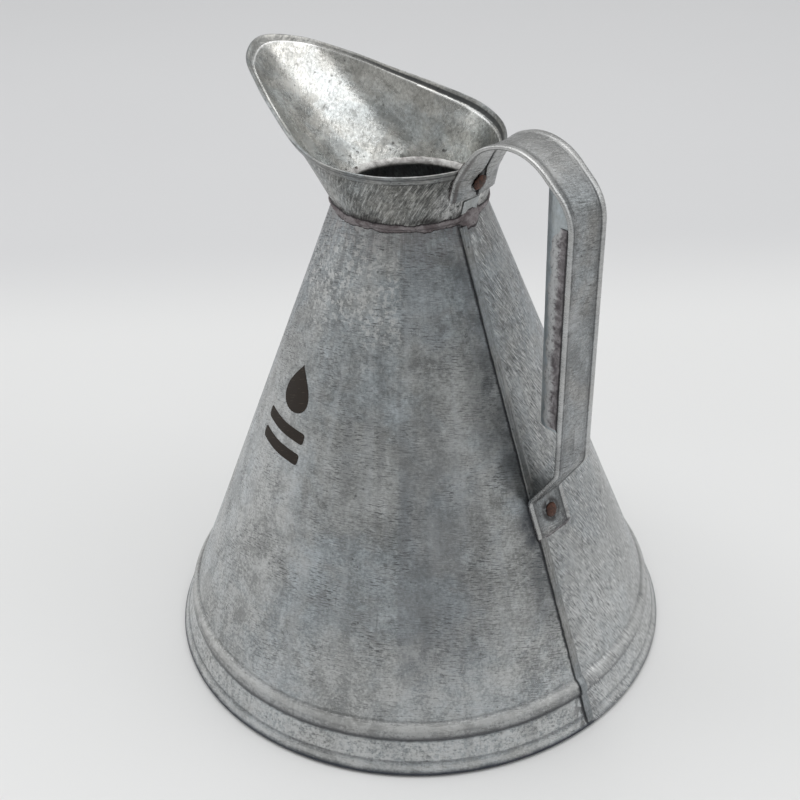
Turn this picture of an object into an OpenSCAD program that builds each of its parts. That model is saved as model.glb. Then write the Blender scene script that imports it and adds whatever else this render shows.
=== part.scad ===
// Conical sheet-metal pouring jug, 4 litre class.
// Origin: centre of the base, on the floor.  +Z up, handle towards +X,
// pouring lip towards -X, plane of symmetry y = 0.  Millimetres.

/* [Body] */
// outside diameter of the cone where it meets the floor
base_d = 239.6; // [232:0.4:246]
// outside diameter of the cone at its open top
neck_d = 64.4; // [62:0.4:66]
// height of the open top of the cone
neck_z = 224; // [222:1:225]
// thickness of the body sheet
sheet_t = 0.6; // [0.5:0.1:0.8]

/* [Foot and bead] */
// height of the middle of the stiffening bead
bead_z = 20; // [18.5:0.5:24]
// height of the bead from edge to edge
bead_w = 8; // [6:0.5:9]
// how far the bead stands out from the cone
bead_h = 1.8; // [1:0.1:2.4]
// height of the folded hem at the foot
hem_h = 8; // [7:0.5:10]
// diameter of the wire rolled into the hem
wire_d = 2.8; // [2.4:0.1:2.8]
// height of the recessed base plate above the floor
plate_z = 18; // [16:0.5:20]
// depth of the turned-down flange of the base plate
flange_h = 8; // [6:0.5:9]

/* [Spout] */
// reach of the pouring lip from the axis
lip_reach = 90.8; // [84:0.4:96]
// largest width of the spout across the rim
rim_w = 90.8; // [86:0.4:96]
// height of the rim at the back, over the handle
rim_z = 249.6; // [248:0.2:252]
// rise of the lip tip above the back of the rim
lip_rise = 22.8; // [18:0.2:28]
// inside radius of the short foot collar of the spout
collar_r = 33; // [32.9:0.1:33.3]
// thickness of the spout sheet
spout_t = 0.6; // [0.5:0.1:0.8]
// height of the folded hem round the rim
rim_hem_h = 3.2; // [2.8:0.2:4.4]

/* [Handle] */
// width of the handle strap
strap_w = 22; // [20:0.5:24]
// thickness of the folded strap
strap_t = 1.8; // [1.6:0.1:2]
// depth of the half-round grip liner behind the strap
grip_depth = 15; // [12:0.5:17]
// height of the lower end of the grip liner
grip_z0 = 149; // [142:1:160]

/* [Fasteners and seams] */
// diameter of the rivet heads
rivet_head_d = 6.6; // [6:0.1:8]
// diameter of the rivet shanks
rivet_d = 4; // [3.6:0.1:4.4]
// azimuth of the side seam
seam_az = -5; // [-6:0.5:-4.5]
// width of the folded side seam
seam_w = 4.2; // [3.8:0.2:5]
// height of the folded side seam above the sheet
seam_h = 0.9; // [0.8:0.1:1.2]

/* [Hidden] */
rb = base_d/2;
rn = neck_d/2;
slope = (rb - rn)/neck_z;          // radius lost per mm of height
wire_c = [rb - 3.05, 2.15];        // centre of the foot wire
ang = atan(slope);                 // half-angle of the cone
th = sheet_t/cos(ang);             // sheet thickness measured level
collar_z0 = neck_z + 1.5;
collar_z1 = neck_z + 2.8;
rim_step = 0.8;                    // outward step of the wall under the hem
hem_t = 0.65;                      // outer ply of the rim hem
strap_gap = 0.12;
galv = [0.66, 0.69, 0.71];
galv2 = [0.72, 0.74, 0.76];
solder = [0.55, 0.51, 0.52];
rust = [0.36, 0.22, 0.18];

function cone_r(z) = rb - slope*z;
function bump(z) = let(u = (z - bead_z)/(bead_w/2))
    abs(u) >= 1 ? 0 : bead_h*pow(1 - u*u, 0.7);
bead_u = [-1, -0.94, -0.8, -0.6, -0.35, 0, 0.35, 0.6, 0.8, 0.94, 1];
function body_r(z) = cone_r(z) + bump(z);

// ---- body ------------------------------------------------------------
module body_shell() color(galv)
    difference() {
        rotate_extrude($fn = 180) polygon(concat(
            // outside, from the neck down over the bead to the flat foot
            [[cone_r(neck_z), neck_z]],
            [for (i = [len(bead_u) - 1:-1:0]) let(z = bead_z + bead_u[i]*bead_w/2) [body_r(z), z]],
            [[cone_r(hem_h - 1), hem_h - 1], [cone_r(hem_h - 1.8) - 0.25, hem_h - 1.8],
             [cone_r(hem_h - 2.6) + 0.1, hem_h - 2.6], [cone_r(3) + 0.35, 3], [rb + 0.2, 1.7],
             [rb - 0.1, 0.7], [rb - 0.6, 0.2], [rb - 1.3, 0], [rb - 3.6, 0],
             // inner ply of the hem, up the inside of the wall
             [rb - 4.4, 0.3], [rb - 5, 1.1], [rb - 5.1, 2.3], [rb - 4.8, 3.3], [cone_r(4.4) - 2*th - 0.1, 4.4],
             [cone_r(hem_h - 0.4) - 2*th - 0.1, hem_h - 0.4], [cone_r(hem_h - 0.4) - th - 0.1, hem_h - 0.4]],
            // round the wire
            [for (a = [50:15:365]) wire_c + (wire_d/2 + 0.05)*[cos(a), sin(a)]],
            [for (u = bead_u) let(z = bead_z + u*bead_w/2) [body_r(z) - th, z]],
            [[cone_r(neck_z) - th, neck_z]]));
        lower_rivet_axis() cylinder(d = rivet_d + 0.1, h = 12, center = true, $fn = 48);
    }

// folded lock seam, following the cone, over the bead and down to the foot
module side_seam() color(galv2)
    rotate([0, 0, seam_az]) rotate([90, 0, 0]) linear_extrude(height = seam_w, center = true)
        polygon(concat(
            [[rb + 0.5, 1.2], [rb + 0.7, 2.2], [cone_r(4) + seam_h, 4]],
            [for (u = bead_u) let(z = bead_z + u*bead_w/2) [body_r(z) + seam_h, z]],
            [[cone_r(neck_z - 6) + seam_h, neck_z - 6],
             [cone_r(neck_z - 6) - 0.05, neck_z - 6]],
            [for (i = [len(bead_u) - 1:-1:0]) let(z = bead_z + bead_u[i]*bead_w/2)
                [body_r(z) - 0.05, z]],
            [[cone_r(hem_h) - 0.05, hem_h], [cone_r(4) + 0.2, 4], [rb + 0.15, 2.2], [rb + 0.1, 1.2]]));

// run of solder that seals the seam on the inside
module seam_solder() color(solder)
    rotate([0, 0, seam_az]) rotate([90, 0, 0]) linear_extrude(height = 3.4, center = true)
        polygon([[cone_r(plate_z + 9) - th - 0.04, plate_z + 9], [cone_r(neck_z - 2) - th - 0.04, neck_z - 2],
                 [cone_r(neck_z - 2) - th - 0.6, neck_z - 2], [cone_r(plate_z + 9) - th - 0.6, plate_z + 9]]);

module foot_wire() color([0.5, 0.51, 0.52])
    rotate_extrude($fn = 180) translate(wire_c) circle(d = wire_d, $fn = 32);

// ---- base ------------------------------------------------------------
plate_r = cone_r(plate_z) - th - 0.15;
module base_plate() color(galv2)
    rotate_extrude($fn = 180) polygon([
        [0, plate_z - 0.6], [plate_r - 24, plate_z - 0.6], [plate_r - 22.8, plate_z + 0.6],
        [plate_r - 19.4, plate_z + 0.6], [plate_r - 18.2, plate_z - 0.6],
        [plate_r - 2.2, plate_z - 0.6], [plate_r - 1.0, plate_z - 1.3],
        [plate_r + slope*flange_h - 0.7, plate_z - flange_h],
        [plate_r + slope*flange_h, plate_z - flange_h],
        [plate_r + slope*1.4, plate_z - 1.4], [plate_r - 0.4, plate_z - 0.3], [plate_r - 1.6, plate_z],
        [plate_r - 17.8, plate_z], [plate_r - 19, plate_z + 1.2],
        [plate_r - 23.2, plate_z + 1.2], [plate_r - 24.4, plate_z], [0, plate_z]]);

module base_solder() color(solder)
    rotate_extrude($fn = 180) translate([0, plate_z - flange_h]) polygon([
        [cone_r(plate_z - flange_h) - th - 0.04, -0.1],
        [cone_r(plate_z - flange_h) - th - 1.0, -0.1],
        [cone_r(plate_z - flange_h) - th - 0.8, -0.8],
        [cone_r(plate_z - flange_h) - th + 0.1, -1.8],
        [cone_r(plate_z - flange_h) - th + 0.5, -1.7]]);

// ---- spout -----------------------------------------------------------
// half of the rim, tip first: share of the reach, share of the half width,
// share of the lip rise, and the angle on the foot that each point is drawn to
rim_half = [[-1, 0, 1, 180], [-0.9, 0.36, 0.89, 146], [-0.69, 0.6, 0.68, 120],
            [-0.465, 0.79, 0.43, 111], [-0.235, 0.955, 0.21, 101], [0, 1, 0.07, 82],
            [0.22, 0.82, 0, 55], [0.39, 0.45, -0.01, 30], [0.46, 0, 0, 0]];
function rim_pt(i) =
    i < 0 ? let(p = rim_half[-i]) [p[0], -p[1], p[2], 360 - p[3]] :
    i > 8 ? let(p = rim_half[16 - i]) [p[0], -p[1], p[2], -p[3]] : rim_half[i];
function cr(a, b, c, d, t) = 0.5*((2*b) + (c - a)*t + (2*a - 5*b + 4*c - d)*t*t + (3*b - a - 3*c + d)*t*t*t);
per = 6;                            // facets between two rim points
half_rim = concat([for (i = [0:7], k = [0:per - 1])
    cr(rim_pt(i - 1), rim_pt(i), rim_pt(i + 1), rim_pt(i + 2), k/per)], [rim_half[8]]);
nh = len(half_rim);
rim_all = concat(half_rim, [for (i = [nh - 2:-1:1]) let(p = half_rim[i]) [p[0], -p[1], p[2], -p[3]]]);
nr = len(rim_all);
function rim_c(i) = let(p = rim_all[(i + nr) % nr])
    [p[0]*lip_reach, p[1]*rim_w/2, rim_z + p[2]*lip_rise];
function foot_c(i, r = collar_r, z = collar_z1) = let(a = rim_all[(i + nr) % nr][3])
    [r*cos(a), r*sin(a), z];
function unit(v) = v/norm(v);
function wall_n(i) = unit(cross(rim_c(i) - foot_c(i), rim_c(i + 1) - rim_c(i - 1)));
full_t = spout_t + rim_step + hem_t;
function wall_top(i) = rim_c(i) - full_t*wall_n(i);
function wall_pt(i, d, off) = let(w = wall_top(i), f = foot_c(i), e = unit(w - f))
    w - e*d + wall_n(i)*off;
function wall_lo(i, s, off) = let(w = wall_top(i), f = foot_c(i)) f + (w - f)*s + wall_n(i)*off;

module ring_mesh(loops) {
    n = len(loops); m = len(loops[0]);
    polyhedron(points = [for (l = loops) each l],
        faces = [for (i = [0:n - 1], j = [0:m - 1], k = [0, 1])
            let(a = i*m + j, b = ((i + 1) % n)*m + j,
                c = ((i + 1) % n)*m + (j + 1) % m, d = i*m + (j + 1) % m)
            k == 0 ? [a, b, c] : [a, c, d]], convexity = 6);
}

module spout_funnel() color(galv)
    difference() {
        ring_mesh([for (i = [0:nr - 1]) [
            foot_c(i, collar_r, collar_z0), foot_c(i),
            wall_lo(i, 0.33, 0), wall_lo(i, 0.66, 0),
            wall_pt(i, rim_hem_h + 0.9, 0), wall_pt(i, rim_hem_h - 0.1, rim_step), wall_pt(i, 0, rim_step),
            wall_pt(i, 0, rim_step + spout_t), wall_pt(i, rim_hem_h, rim_step + spout_t),
            wall_pt(i, rim_hem_h + 1, spout_t),
            wall_lo(i, 0.66, spout_t), wall_lo(i, 0.33, spout_t),
            foot_c(i, collar_r + spout_t, collar_z1 - 0.2), foot_c(i, collar_r + spout_t, collar_z0)]]);
        upper_rivet_axis() cylinder(d = rivet_d + 0.1, h = 12, center = true, $fn = 48);
    }

module spout_rim_hem() color(galv2)
    ring_mesh([for (i = [0:nr - 1]) let(o = rim_step + spout_t) [
        wall_pt(i, rim_hem_h - 0.2, o + 0.04), wall_pt(i, -0.04, o + 0.04), wall_pt(i, -0.04, rim_step),
        wall_pt(i, -0.4, rim_step + 0.12), wall_pt(i, -0.6, rim_step + 0.6),
        wall_pt(i, -0.4, o + hem_t - 0.15), wall_pt(i, -0.04, o + hem_t), wall_pt(i, rim_hem_h - 0.2, o + hem_t)]]);

// lap where the two ends of the spout sheet meet, under the handle tab
module spout_lap_seam() color(galv2)
    translate([collar_r + spout_t + 0.02, 0, collar_z1 + 0.4])
        rotate([0, atan2(back_dir[0], back_dir[2]), 0])
            translate([0, -4.5, 0]) cube([0.35, 9, 6.4]);
back_dir = unit(wall_top(nh - 1) - foot_c(nh - 1));

// ---- joints of body and spout ---------------------------------------
// band of solder that carries the foot of the spout on the cone
module neck_solder_outer() color(solder)
    rotate_extrude($fn = 180) polygon([
        [cone_r(neck_z - 2.8) + 0.04, neck_z - 2.8], [cone_r(neck_z) + 0.04, neck_z],
        [cone_r(neck_z) + 0.04, collar_z0 - 0.04], [collar_r + spout_t + 0.04, collar_z0 - 0.04],
        [collar_r + spout_t + 0.04, collar_z0 + 1], [collar_r + spout_t + 0.7, collar_z0 + 0.6],
        [collar_r + spout_t + 1.1, collar_z0 - 0.8], [collar_r + spout_t + 0.9, neck_z - 1.4],
        [cone_r(neck_z - 2.6) + 0.5, neck_z - 2.6]]);

// fillet of solder round the mouth, from the edge of the cone up the spout
module neck_solder_inner() color(solder)
    rotate_extrude($fn = 180) polygon([
        [cone_r(neck_z), neck_z + 0.04], [cone_r(neck_z) - th, neck_z + 0.04],
        [cone_r(neck_z) - th - 0.5, neck_z + 0.5], [cone_r(neck_z) - th - 0.3, neck_z + 1.4],
        [collar_r - 0.9, collar_z1 - 0.6], [collar_r - 0.04, collar_z1], [collar_r - 0.04, collar_z0 - 0.04],
        [cone_r(neck_z), collar_z0 - 0.04]]);

// ---- handle ----------------------------------------------------------
// route of the middle of the strap in the plane y = 0: x, z, bend radius
route = [[37.1, 235.5, 0], [39.5, 244.4, 8], [48.1, 259.9, 16], [67.9, 271.3, 25],
         [94.2, 247.5, 20], [92.4, 127.3, 8], [79.2, 106.6, 4], [85.55, 90.3, 0]];
function ang_of(v) = atan2(v[1], v[0]);
function wrap(a) = a > 180 ? a - 360 : a < -180 ? a + 360 : a;
function p2(i) = [route[i][0], route[i][1]];
function corner(i, n) = let(
    din = unit(p2(i) - p2(i - 1)), dout = unit(p2(i + 1) - p2(i)),
    turn = wrap(ang_of(dout) - ang_of(din)), r = route[i][2],
    tl = r*tan(abs(turn)/2), s = p2(i) - din*tl, sg = turn > 0 ? 1 : -1,
    c = s + sg*r*[-din[1], din[0]], a0 = ang_of(s - c))
    [for (k = [0:n]) c + r*[cos(a0 + turn*k/n), sin(a0 + turn*k/n)]];
function blend(a, b, n) = [for (k = [1:n]) a + (b - a)*k/(n + 1)];
path = let(c1 = corner(1, 2), c2 = corner(2, 5), c3 = corner(3, 16), c4 = corner(4, 12),
    c5 = corner(5, 5), c6 = corner(6, 6))
    concat([p2(0)], blend(p2(0), c1[0], 3), c1, blend(c1[2], c2[0], 2), c2, c3, c4, blend(c4[12], c5[0], 5),
           c5, c6, blend(c6[6], p2(7), 4), [p2(7)]);
np = len(path);
function tan_at(i) = unit(path[min(i + 1, np - 1)] - path[max(i - 1, 0)]);
function nrm_at(i) = let(t = tan_at(i)) [-t[1], t[0]];
// the ends of the strap are dished to lie on the spout and on the cone,
// and the upper tab is wider than the rest
function from_top(i) = norm(path[i] - path[0]);
function dish(i) = let(a = from_top(i), b = norm(path[i] - path[np - 1]))
    a < 15 ? 1.6 : a < 34 ? 1.6*(34 - a)/19 : b < 15 ? -0.7 : b < 30 ? -0.7*(30 - b)/15 : 0;
function widen(i) = let(a = from_top(i)) a < 14 ? 1.2 : a < 32 ? 1 + 0.2*(32 - a)/18 : 1;
hw = strap_w/2;
ht = strap_t/2;
strap_sec = [[-hw, -ht + 0.2], [-hw + 0.3, -ht], [-hw*0.5, -ht], [-0.3, -ht], [-0.25, -0.1], [0.25, -0.1], [0.3, -ht],
             [hw*0.5, -ht], [hw - 0.3, -ht], [hw, -ht + 0.2], [hw, ht - 0.2], [hw - 0.3, ht], [hw - 3, ht],
             [hw - 3.3, ht - 0.25], [0, ht - 0.25], [-hw + 3.3, ht - 0.25], [-hw + 3, ht], [-hw + 0.3, ht],
             [-hw, ht - 0.2]];
function strap_pt(i, y0, o) = let(n = nrm_at(i), y = y0*widen(i), oo = o + dish(i)*(y/hw)*(y/hw))
    [path[i][0] + n[0]*oo, y, path[i][1] + n[1]*oo];
module sweep_mesh(loops) {
    n = len(loops); m = len(loops[0]);
    polyhedron(points = [for (l = loops) each l],
        faces = concat([[for (j = [0:m - 1]) j]], [[for (j = [m - 1:-1:0]) (n - 1)*m + j]],
            [for (i = [0:n - 2], j = [0:m - 1], k = [0, 1])
            let(a = i*m + j, b = (i + 1)*m + j, c = (i + 1)*m + (j + 1) % m, d = i*m + (j + 1) % m)
            k == 0 ? [a, b, c] : [a, c, d]]), convexity = 8);
}
module strap_solid()
    sweep_mesh([for (i = [0:np - 1]) [for (q = strap_sec) strap_pt(i, q[0], q[1])]]);

tab_dir = unit([route[1][0] - route[0][0], 0, route[1][1] - route[0][1]]);
tab_pt = [route[0][0], 0, route[0][1]] + tab_dir*6.6;
module upper_rivet_axis()
    translate(tab_pt) rotate([0, 90 + atan2(tab_dir[0], tab_dir[2]), 0]) children();
low_dir = unit([route[7][0] - route[6][0], 0, route[7][1] - route[6][1]]);
low_pt = [route[7][0], 0, route[7][1]] - low_dir*9.6;
module lower_rivet_axis()
    translate(low_pt) rotate([0, 90 - ang, 0]) children();

module handle_strap() color(galv2)
    difference() {
        strap_solid();
        upper_rivet_axis() cylinder(d = rivet_d + 0.1, h = 8, center = true, $fn = 48);
        lower_rivet_axis() cylinder(d = rivet_d + 0.1, h = 8, center = true, $fn = 48);
    }

// half-round liner behind the strap, open at its lower end
grip_x = 94.15;                    // middle of the strap at the top of its straight run
grip_top = 238;
lean = atan2(route[4][0] - route[5][0], route[4][1] - route[5][1]);
grip_r = strap_w/2 - 1.3;
module grip_frame()
    translate([grip_x, 0, grip_top]) rotate([0, lean, 0]) children();
module grip_profile(t = 0) {
    translate([grip_x - grip_depth - 1.5 + grip_r, 0]) circle(r = grip_r - t, $fn = 64);
    translate([grip_x - grip_depth - 1.5 + grip_r, t - grip_r]) square([grip_depth, 2*(grip_r - t)]);
}
module grip_liner() color(galv)
    difference() {
        translate([0, 0, grip_z0]) linear_extrude(height = 112) grip_profile();
        translate([0, 0, grip_z0 - 1]) linear_extrude(height = 120) grip_profile(0.6);
        // the open side stops at the back of the strap
        grip_frame() translate([-ht - 0.06, -30, -160]) cube([60, 60, 200]);
        // top end follows the inside of the bend
        rotate([90, 0, 0]) linear_extrude(height = 60, center = true)
            polygon(concat([for (i = [0:np - 1]) if (path[i][1] > 236 && path[i][0] > 64)
                path[i] - nrm_at(i)*(ht + 0.1)], [[130, 236], [130, 290], [64, 290]]));
        // lower end is cut back a little at the crown
        translate([grip_x - grip_depth - 3, 0, grip_z0]) rotate([90, 0, 0])
            linear_extrude(height = 40, center = true)
                difference() { square([3, 1.5]); translate([3, 1.5]) circle(r = 1.5, $fn = 48); }
    }

// fillet of solder along each edge of the liner
module grip_bead(s) color(solder)
    grip_frame() translate([0, 0, grip_z0 - grip_top + 3])
        linear_extrude(height = grip_top - grip_z0 - 5)
            polygon([[-ht - 0.04, s*(grip_r + 0.04)], [-ht - 1.3, s*(grip_r + 0.04)],
                     [-ht - 0.5, s*(grip_r + 0.4)], [-ht - 0.04, s*(grip_r + 1.1)]]);
module grip_solder_left() grip_bead(1);
module grip_solder_right() grip_bead(-1);

// ---- rivets and their solder ----------------------------------------
module rivet_head(d, h) intersection() {
    translate([0, 0, h - d*0.72]) sphere(r = d*0.72, $fn = 96);
    cylinder(d = d, h = h, $fn = 64);
}
// shank along the axis, formed head outside, flat head inside
module rivet(front, back) {
    translate([0, 0, -back]) cylinder(d = rivet_d, h = front + back + 0.3, $fn = 48);
    translate([0, 0, front + 0.05]) rivet_head(rivet_head_d, 1.5);
    translate([0, 0, -back - 0.9]) cylinder(d = rivet_head_d - 0.4, h = 0.95, $fn = 64);
}
// one rivet through each tab of the handle
module handle_rivets() color(rust) {
    upper_rivet_axis() rivet(ht, 3.1);
    lower_rivet_axis() rivet(ht, 2.1);
}

function pad(i0, i1, sec) = [for (i = [i0:i1]) [for (q = sec) strap_pt(i, q[0], q[1])]];
module upper_tab_solder() color(solder)
    difference() {
        sweep_mesh([for (i = [0:4]) let(g = ht + 0.25 + 0.1*i) [for (q = [
            [-hw - 1.2, g], [-hw - 0.05, -0.1], [-hw - 0.05, ht - 0.2], [-hw + 0.3, ht + 0.05], [0, ht + 0.05],
            [hw - 0.3, ht + 0.05], [hw + 0.05, ht - 0.2], [hw + 0.05, -0.1], [hw + 1.2, g], [0, g]])
            strap_pt(i, q[0], q[1])]]);
        upper_rivet_axis() cylinder(d = rivet_d + 0.1, h = 12, center = true, $fn = 48);
    }
module lower_tab_solder() color(solder)
    difference() {
        sweep_mesh([for (i = [np - 6:np - 1]) let(g = -ht - 0.2) [for (q = [
            [-hw - 1.2, g], [0, g], [hw + 1.2, g], [hw + 0.05, 0.1], [hw + 0.05, -ht + 0.2], [hw - 0.3, -ht - 0.05],
            [0, -ht - 0.05], [-hw + 0.3, -ht - 0.05], [-hw - 0.05, -ht + 0.2], [-hw - 0.05, 0.1]])
            strap_pt(i, q[0], q[1])]]);
        lower_rivet_axis() cylinder(d = rivet_d + 0.1, h = 12, center = true, $fn = 48);
    }

body_shell();
side_seam();
seam_solder();
foot_wire();
base_plate();
base_solder();
neck_solder_outer();
neck_solder_inner();
spout_funnel();
spout_rim_hem();
spout_lap_seam();
handle_strap();
grip_liner();
grip_solder_left();
grip_solder_right();
handle_rivets();
upper_tab_solder();
lower_tab_solder();
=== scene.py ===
"""Looks of a galvanised conical pouring jug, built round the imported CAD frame.

Lengths in the mesh code are millimetres, turned into metres where a mesh is made.
Origin: centre of the base on the floor. +Z up, handle towards +X, lip towards -X.
"""
import math

import bmesh
import bpy
import numpy as np
from mathutils import Matrix, Vector, noise


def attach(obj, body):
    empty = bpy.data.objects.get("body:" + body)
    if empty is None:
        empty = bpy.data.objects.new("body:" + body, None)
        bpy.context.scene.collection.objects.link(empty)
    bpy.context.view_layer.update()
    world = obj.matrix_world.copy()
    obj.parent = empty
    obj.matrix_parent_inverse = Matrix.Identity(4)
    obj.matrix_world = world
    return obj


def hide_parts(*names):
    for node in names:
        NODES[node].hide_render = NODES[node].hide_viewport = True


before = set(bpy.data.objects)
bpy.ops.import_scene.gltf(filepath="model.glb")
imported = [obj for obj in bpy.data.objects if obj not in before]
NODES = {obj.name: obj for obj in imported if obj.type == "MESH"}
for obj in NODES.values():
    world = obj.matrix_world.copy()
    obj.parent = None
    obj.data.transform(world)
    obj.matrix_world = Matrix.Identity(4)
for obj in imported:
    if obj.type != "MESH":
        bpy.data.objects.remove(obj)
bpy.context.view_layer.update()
scene = bpy.context.scene

# ---------------------------------------------------------------- dimensions
RB, RN, NECK_Z, T = 119.8, 32.2, 224.0, 0.6
SLOPE = (RB - RN) / NECK_Z
ANG = math.atan(SLOPE)
TH = T / math.cos(ANG)
BEAD_Z, BEAD_W, BEAD_H = 20.0, 8.0, 1.8
HEM_H = 8.0
SEAM_AZ, SEAM_W, SEAM_H = -5.0, 4.2, 0.9
COLLAR_R, COLLAR_Z0, COLLAR_Z1 = 33.0, 225.5, 226.8
SPOUT_T, RIM_STEP, HEM_T, RIM_HEM = 0.6, 0.8, 0.65, 3.2
HW, HT = 11.0, 0.9
LIP_REACH, RIM_HALF_W, RIM_Z, LIP_RISE = 90.8, 45.4, 249.6, 22.8
APEX = NECK_Z + RN / SLOPE


# ---------------------------------------------------------------- small helpers
def nz(x, y=0.0, z=0.0, o=2):
    """Smooth fixed noise, about -1 to 1."""
    return noise.fractal(Vector((x, y, z)), 1.0, 2.1, o)


def smooth(a, b, x):
    t = np.clip((x - a) / (b - a), 0, 1)
    return t * t * (3 - 2 * t)


def mesh_piece(name, verts, faces, uvs=None, mat=None, replaces=(), slot=None, sharp=38, mat2=None, second=None):
    """verts in mm, uvs one pair (mm) per face corner."""
    me = bpy.data.meshes.new(name)
    me.from_pydata([tuple(v) for v in (np.asarray(verts, float) * 0.001)], [], [list(map(int, f)) for f in faces])
    me.update()
    if uvs is not None:
        layer = me.uv_layers.new(name="flat")
        layer.uv.foreach_set("vector", (np.asarray(uvs, np.float32) * 0.001).ravel())
    if second is not None:
        me.polygons.foreach_set("material_index", np.asarray(second, np.int32))
    ob = bpy.data.objects.new(name, me)
    scene.collection.objects.link(ob)
    bm = bmesh.new()
    bm.from_mesh(me)
    bmesh.ops.remove_doubles(bm, verts=bm.verts, dist=1e-7)
    if bm.calc_volume(signed=True) < 0:
        bmesh.ops.reverse_faces(bm, faces=bm.faces)
    bm.to_mesh(me)
    bm.free()
    me.shade_smooth()
    me.set_sharp_from_angle(angle=math.radians(sharp))
    if mat:
        me.materials.append(mat)
    if mat2:
        me.materials.append(mat2)
    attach(ob, "root")
    if replaces:
        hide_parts(*replaces)
    return ob


def grid_piece(name, P, ci=False, cj=False, uv=None, caps=False, cols2=None, **kw):
    """P: (ni, nj, 3) rows of points. ci, cj: closed in i, j. caps: close the ends of the sweep."""
    P = np.asarray(P, float)
    ni, nj = P.shape[:2]
    fi, fj = (ni if ci else ni - 1), (nj if cj else nj - 1)
    I, J = np.meshgrid(np.arange(fi), np.arange(fj), indexing="ij")
    I, J = I.ravel(), J.ravel()
    I1, J1 = I + 1, J + 1
    quad = np.stack([(I % ni) * nj + J % nj, (I1 % ni) * nj + J % nj, (I1 % ni) * nj + J1 % nj, (I % ni) * nj + J1 % nj], 1)
    faces = [list(q) for q in quad]
    if cols2 is not None:
        kw["second"] = [int(cols2[0] <= j < cols2[1]) for j in J] + [0] * (2 if caps else 0)
    uvs = None
    if uv is not None:
        uv = np.asarray(uv, float)
        uvs = np.stack([uv[I, J], uv[I1, J], uv[I1, J1], uv[I, J1]], 1).reshape(-1, 2)
    if caps:
        a = list(range(nj))
        b = [(ni - 1) * nj + j for j in range(nj)]
        faces += [a[::-1], b]
        if uvs is not None:
            pad = np.concatenate([uv[0, : nj][::-1], uv[ni - 1, : nj]])
            uvs = np.concatenate([uvs, pad])
    return mesh_piece(name, P.reshape(-1, 3), faces, uvs, **kw)


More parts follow.
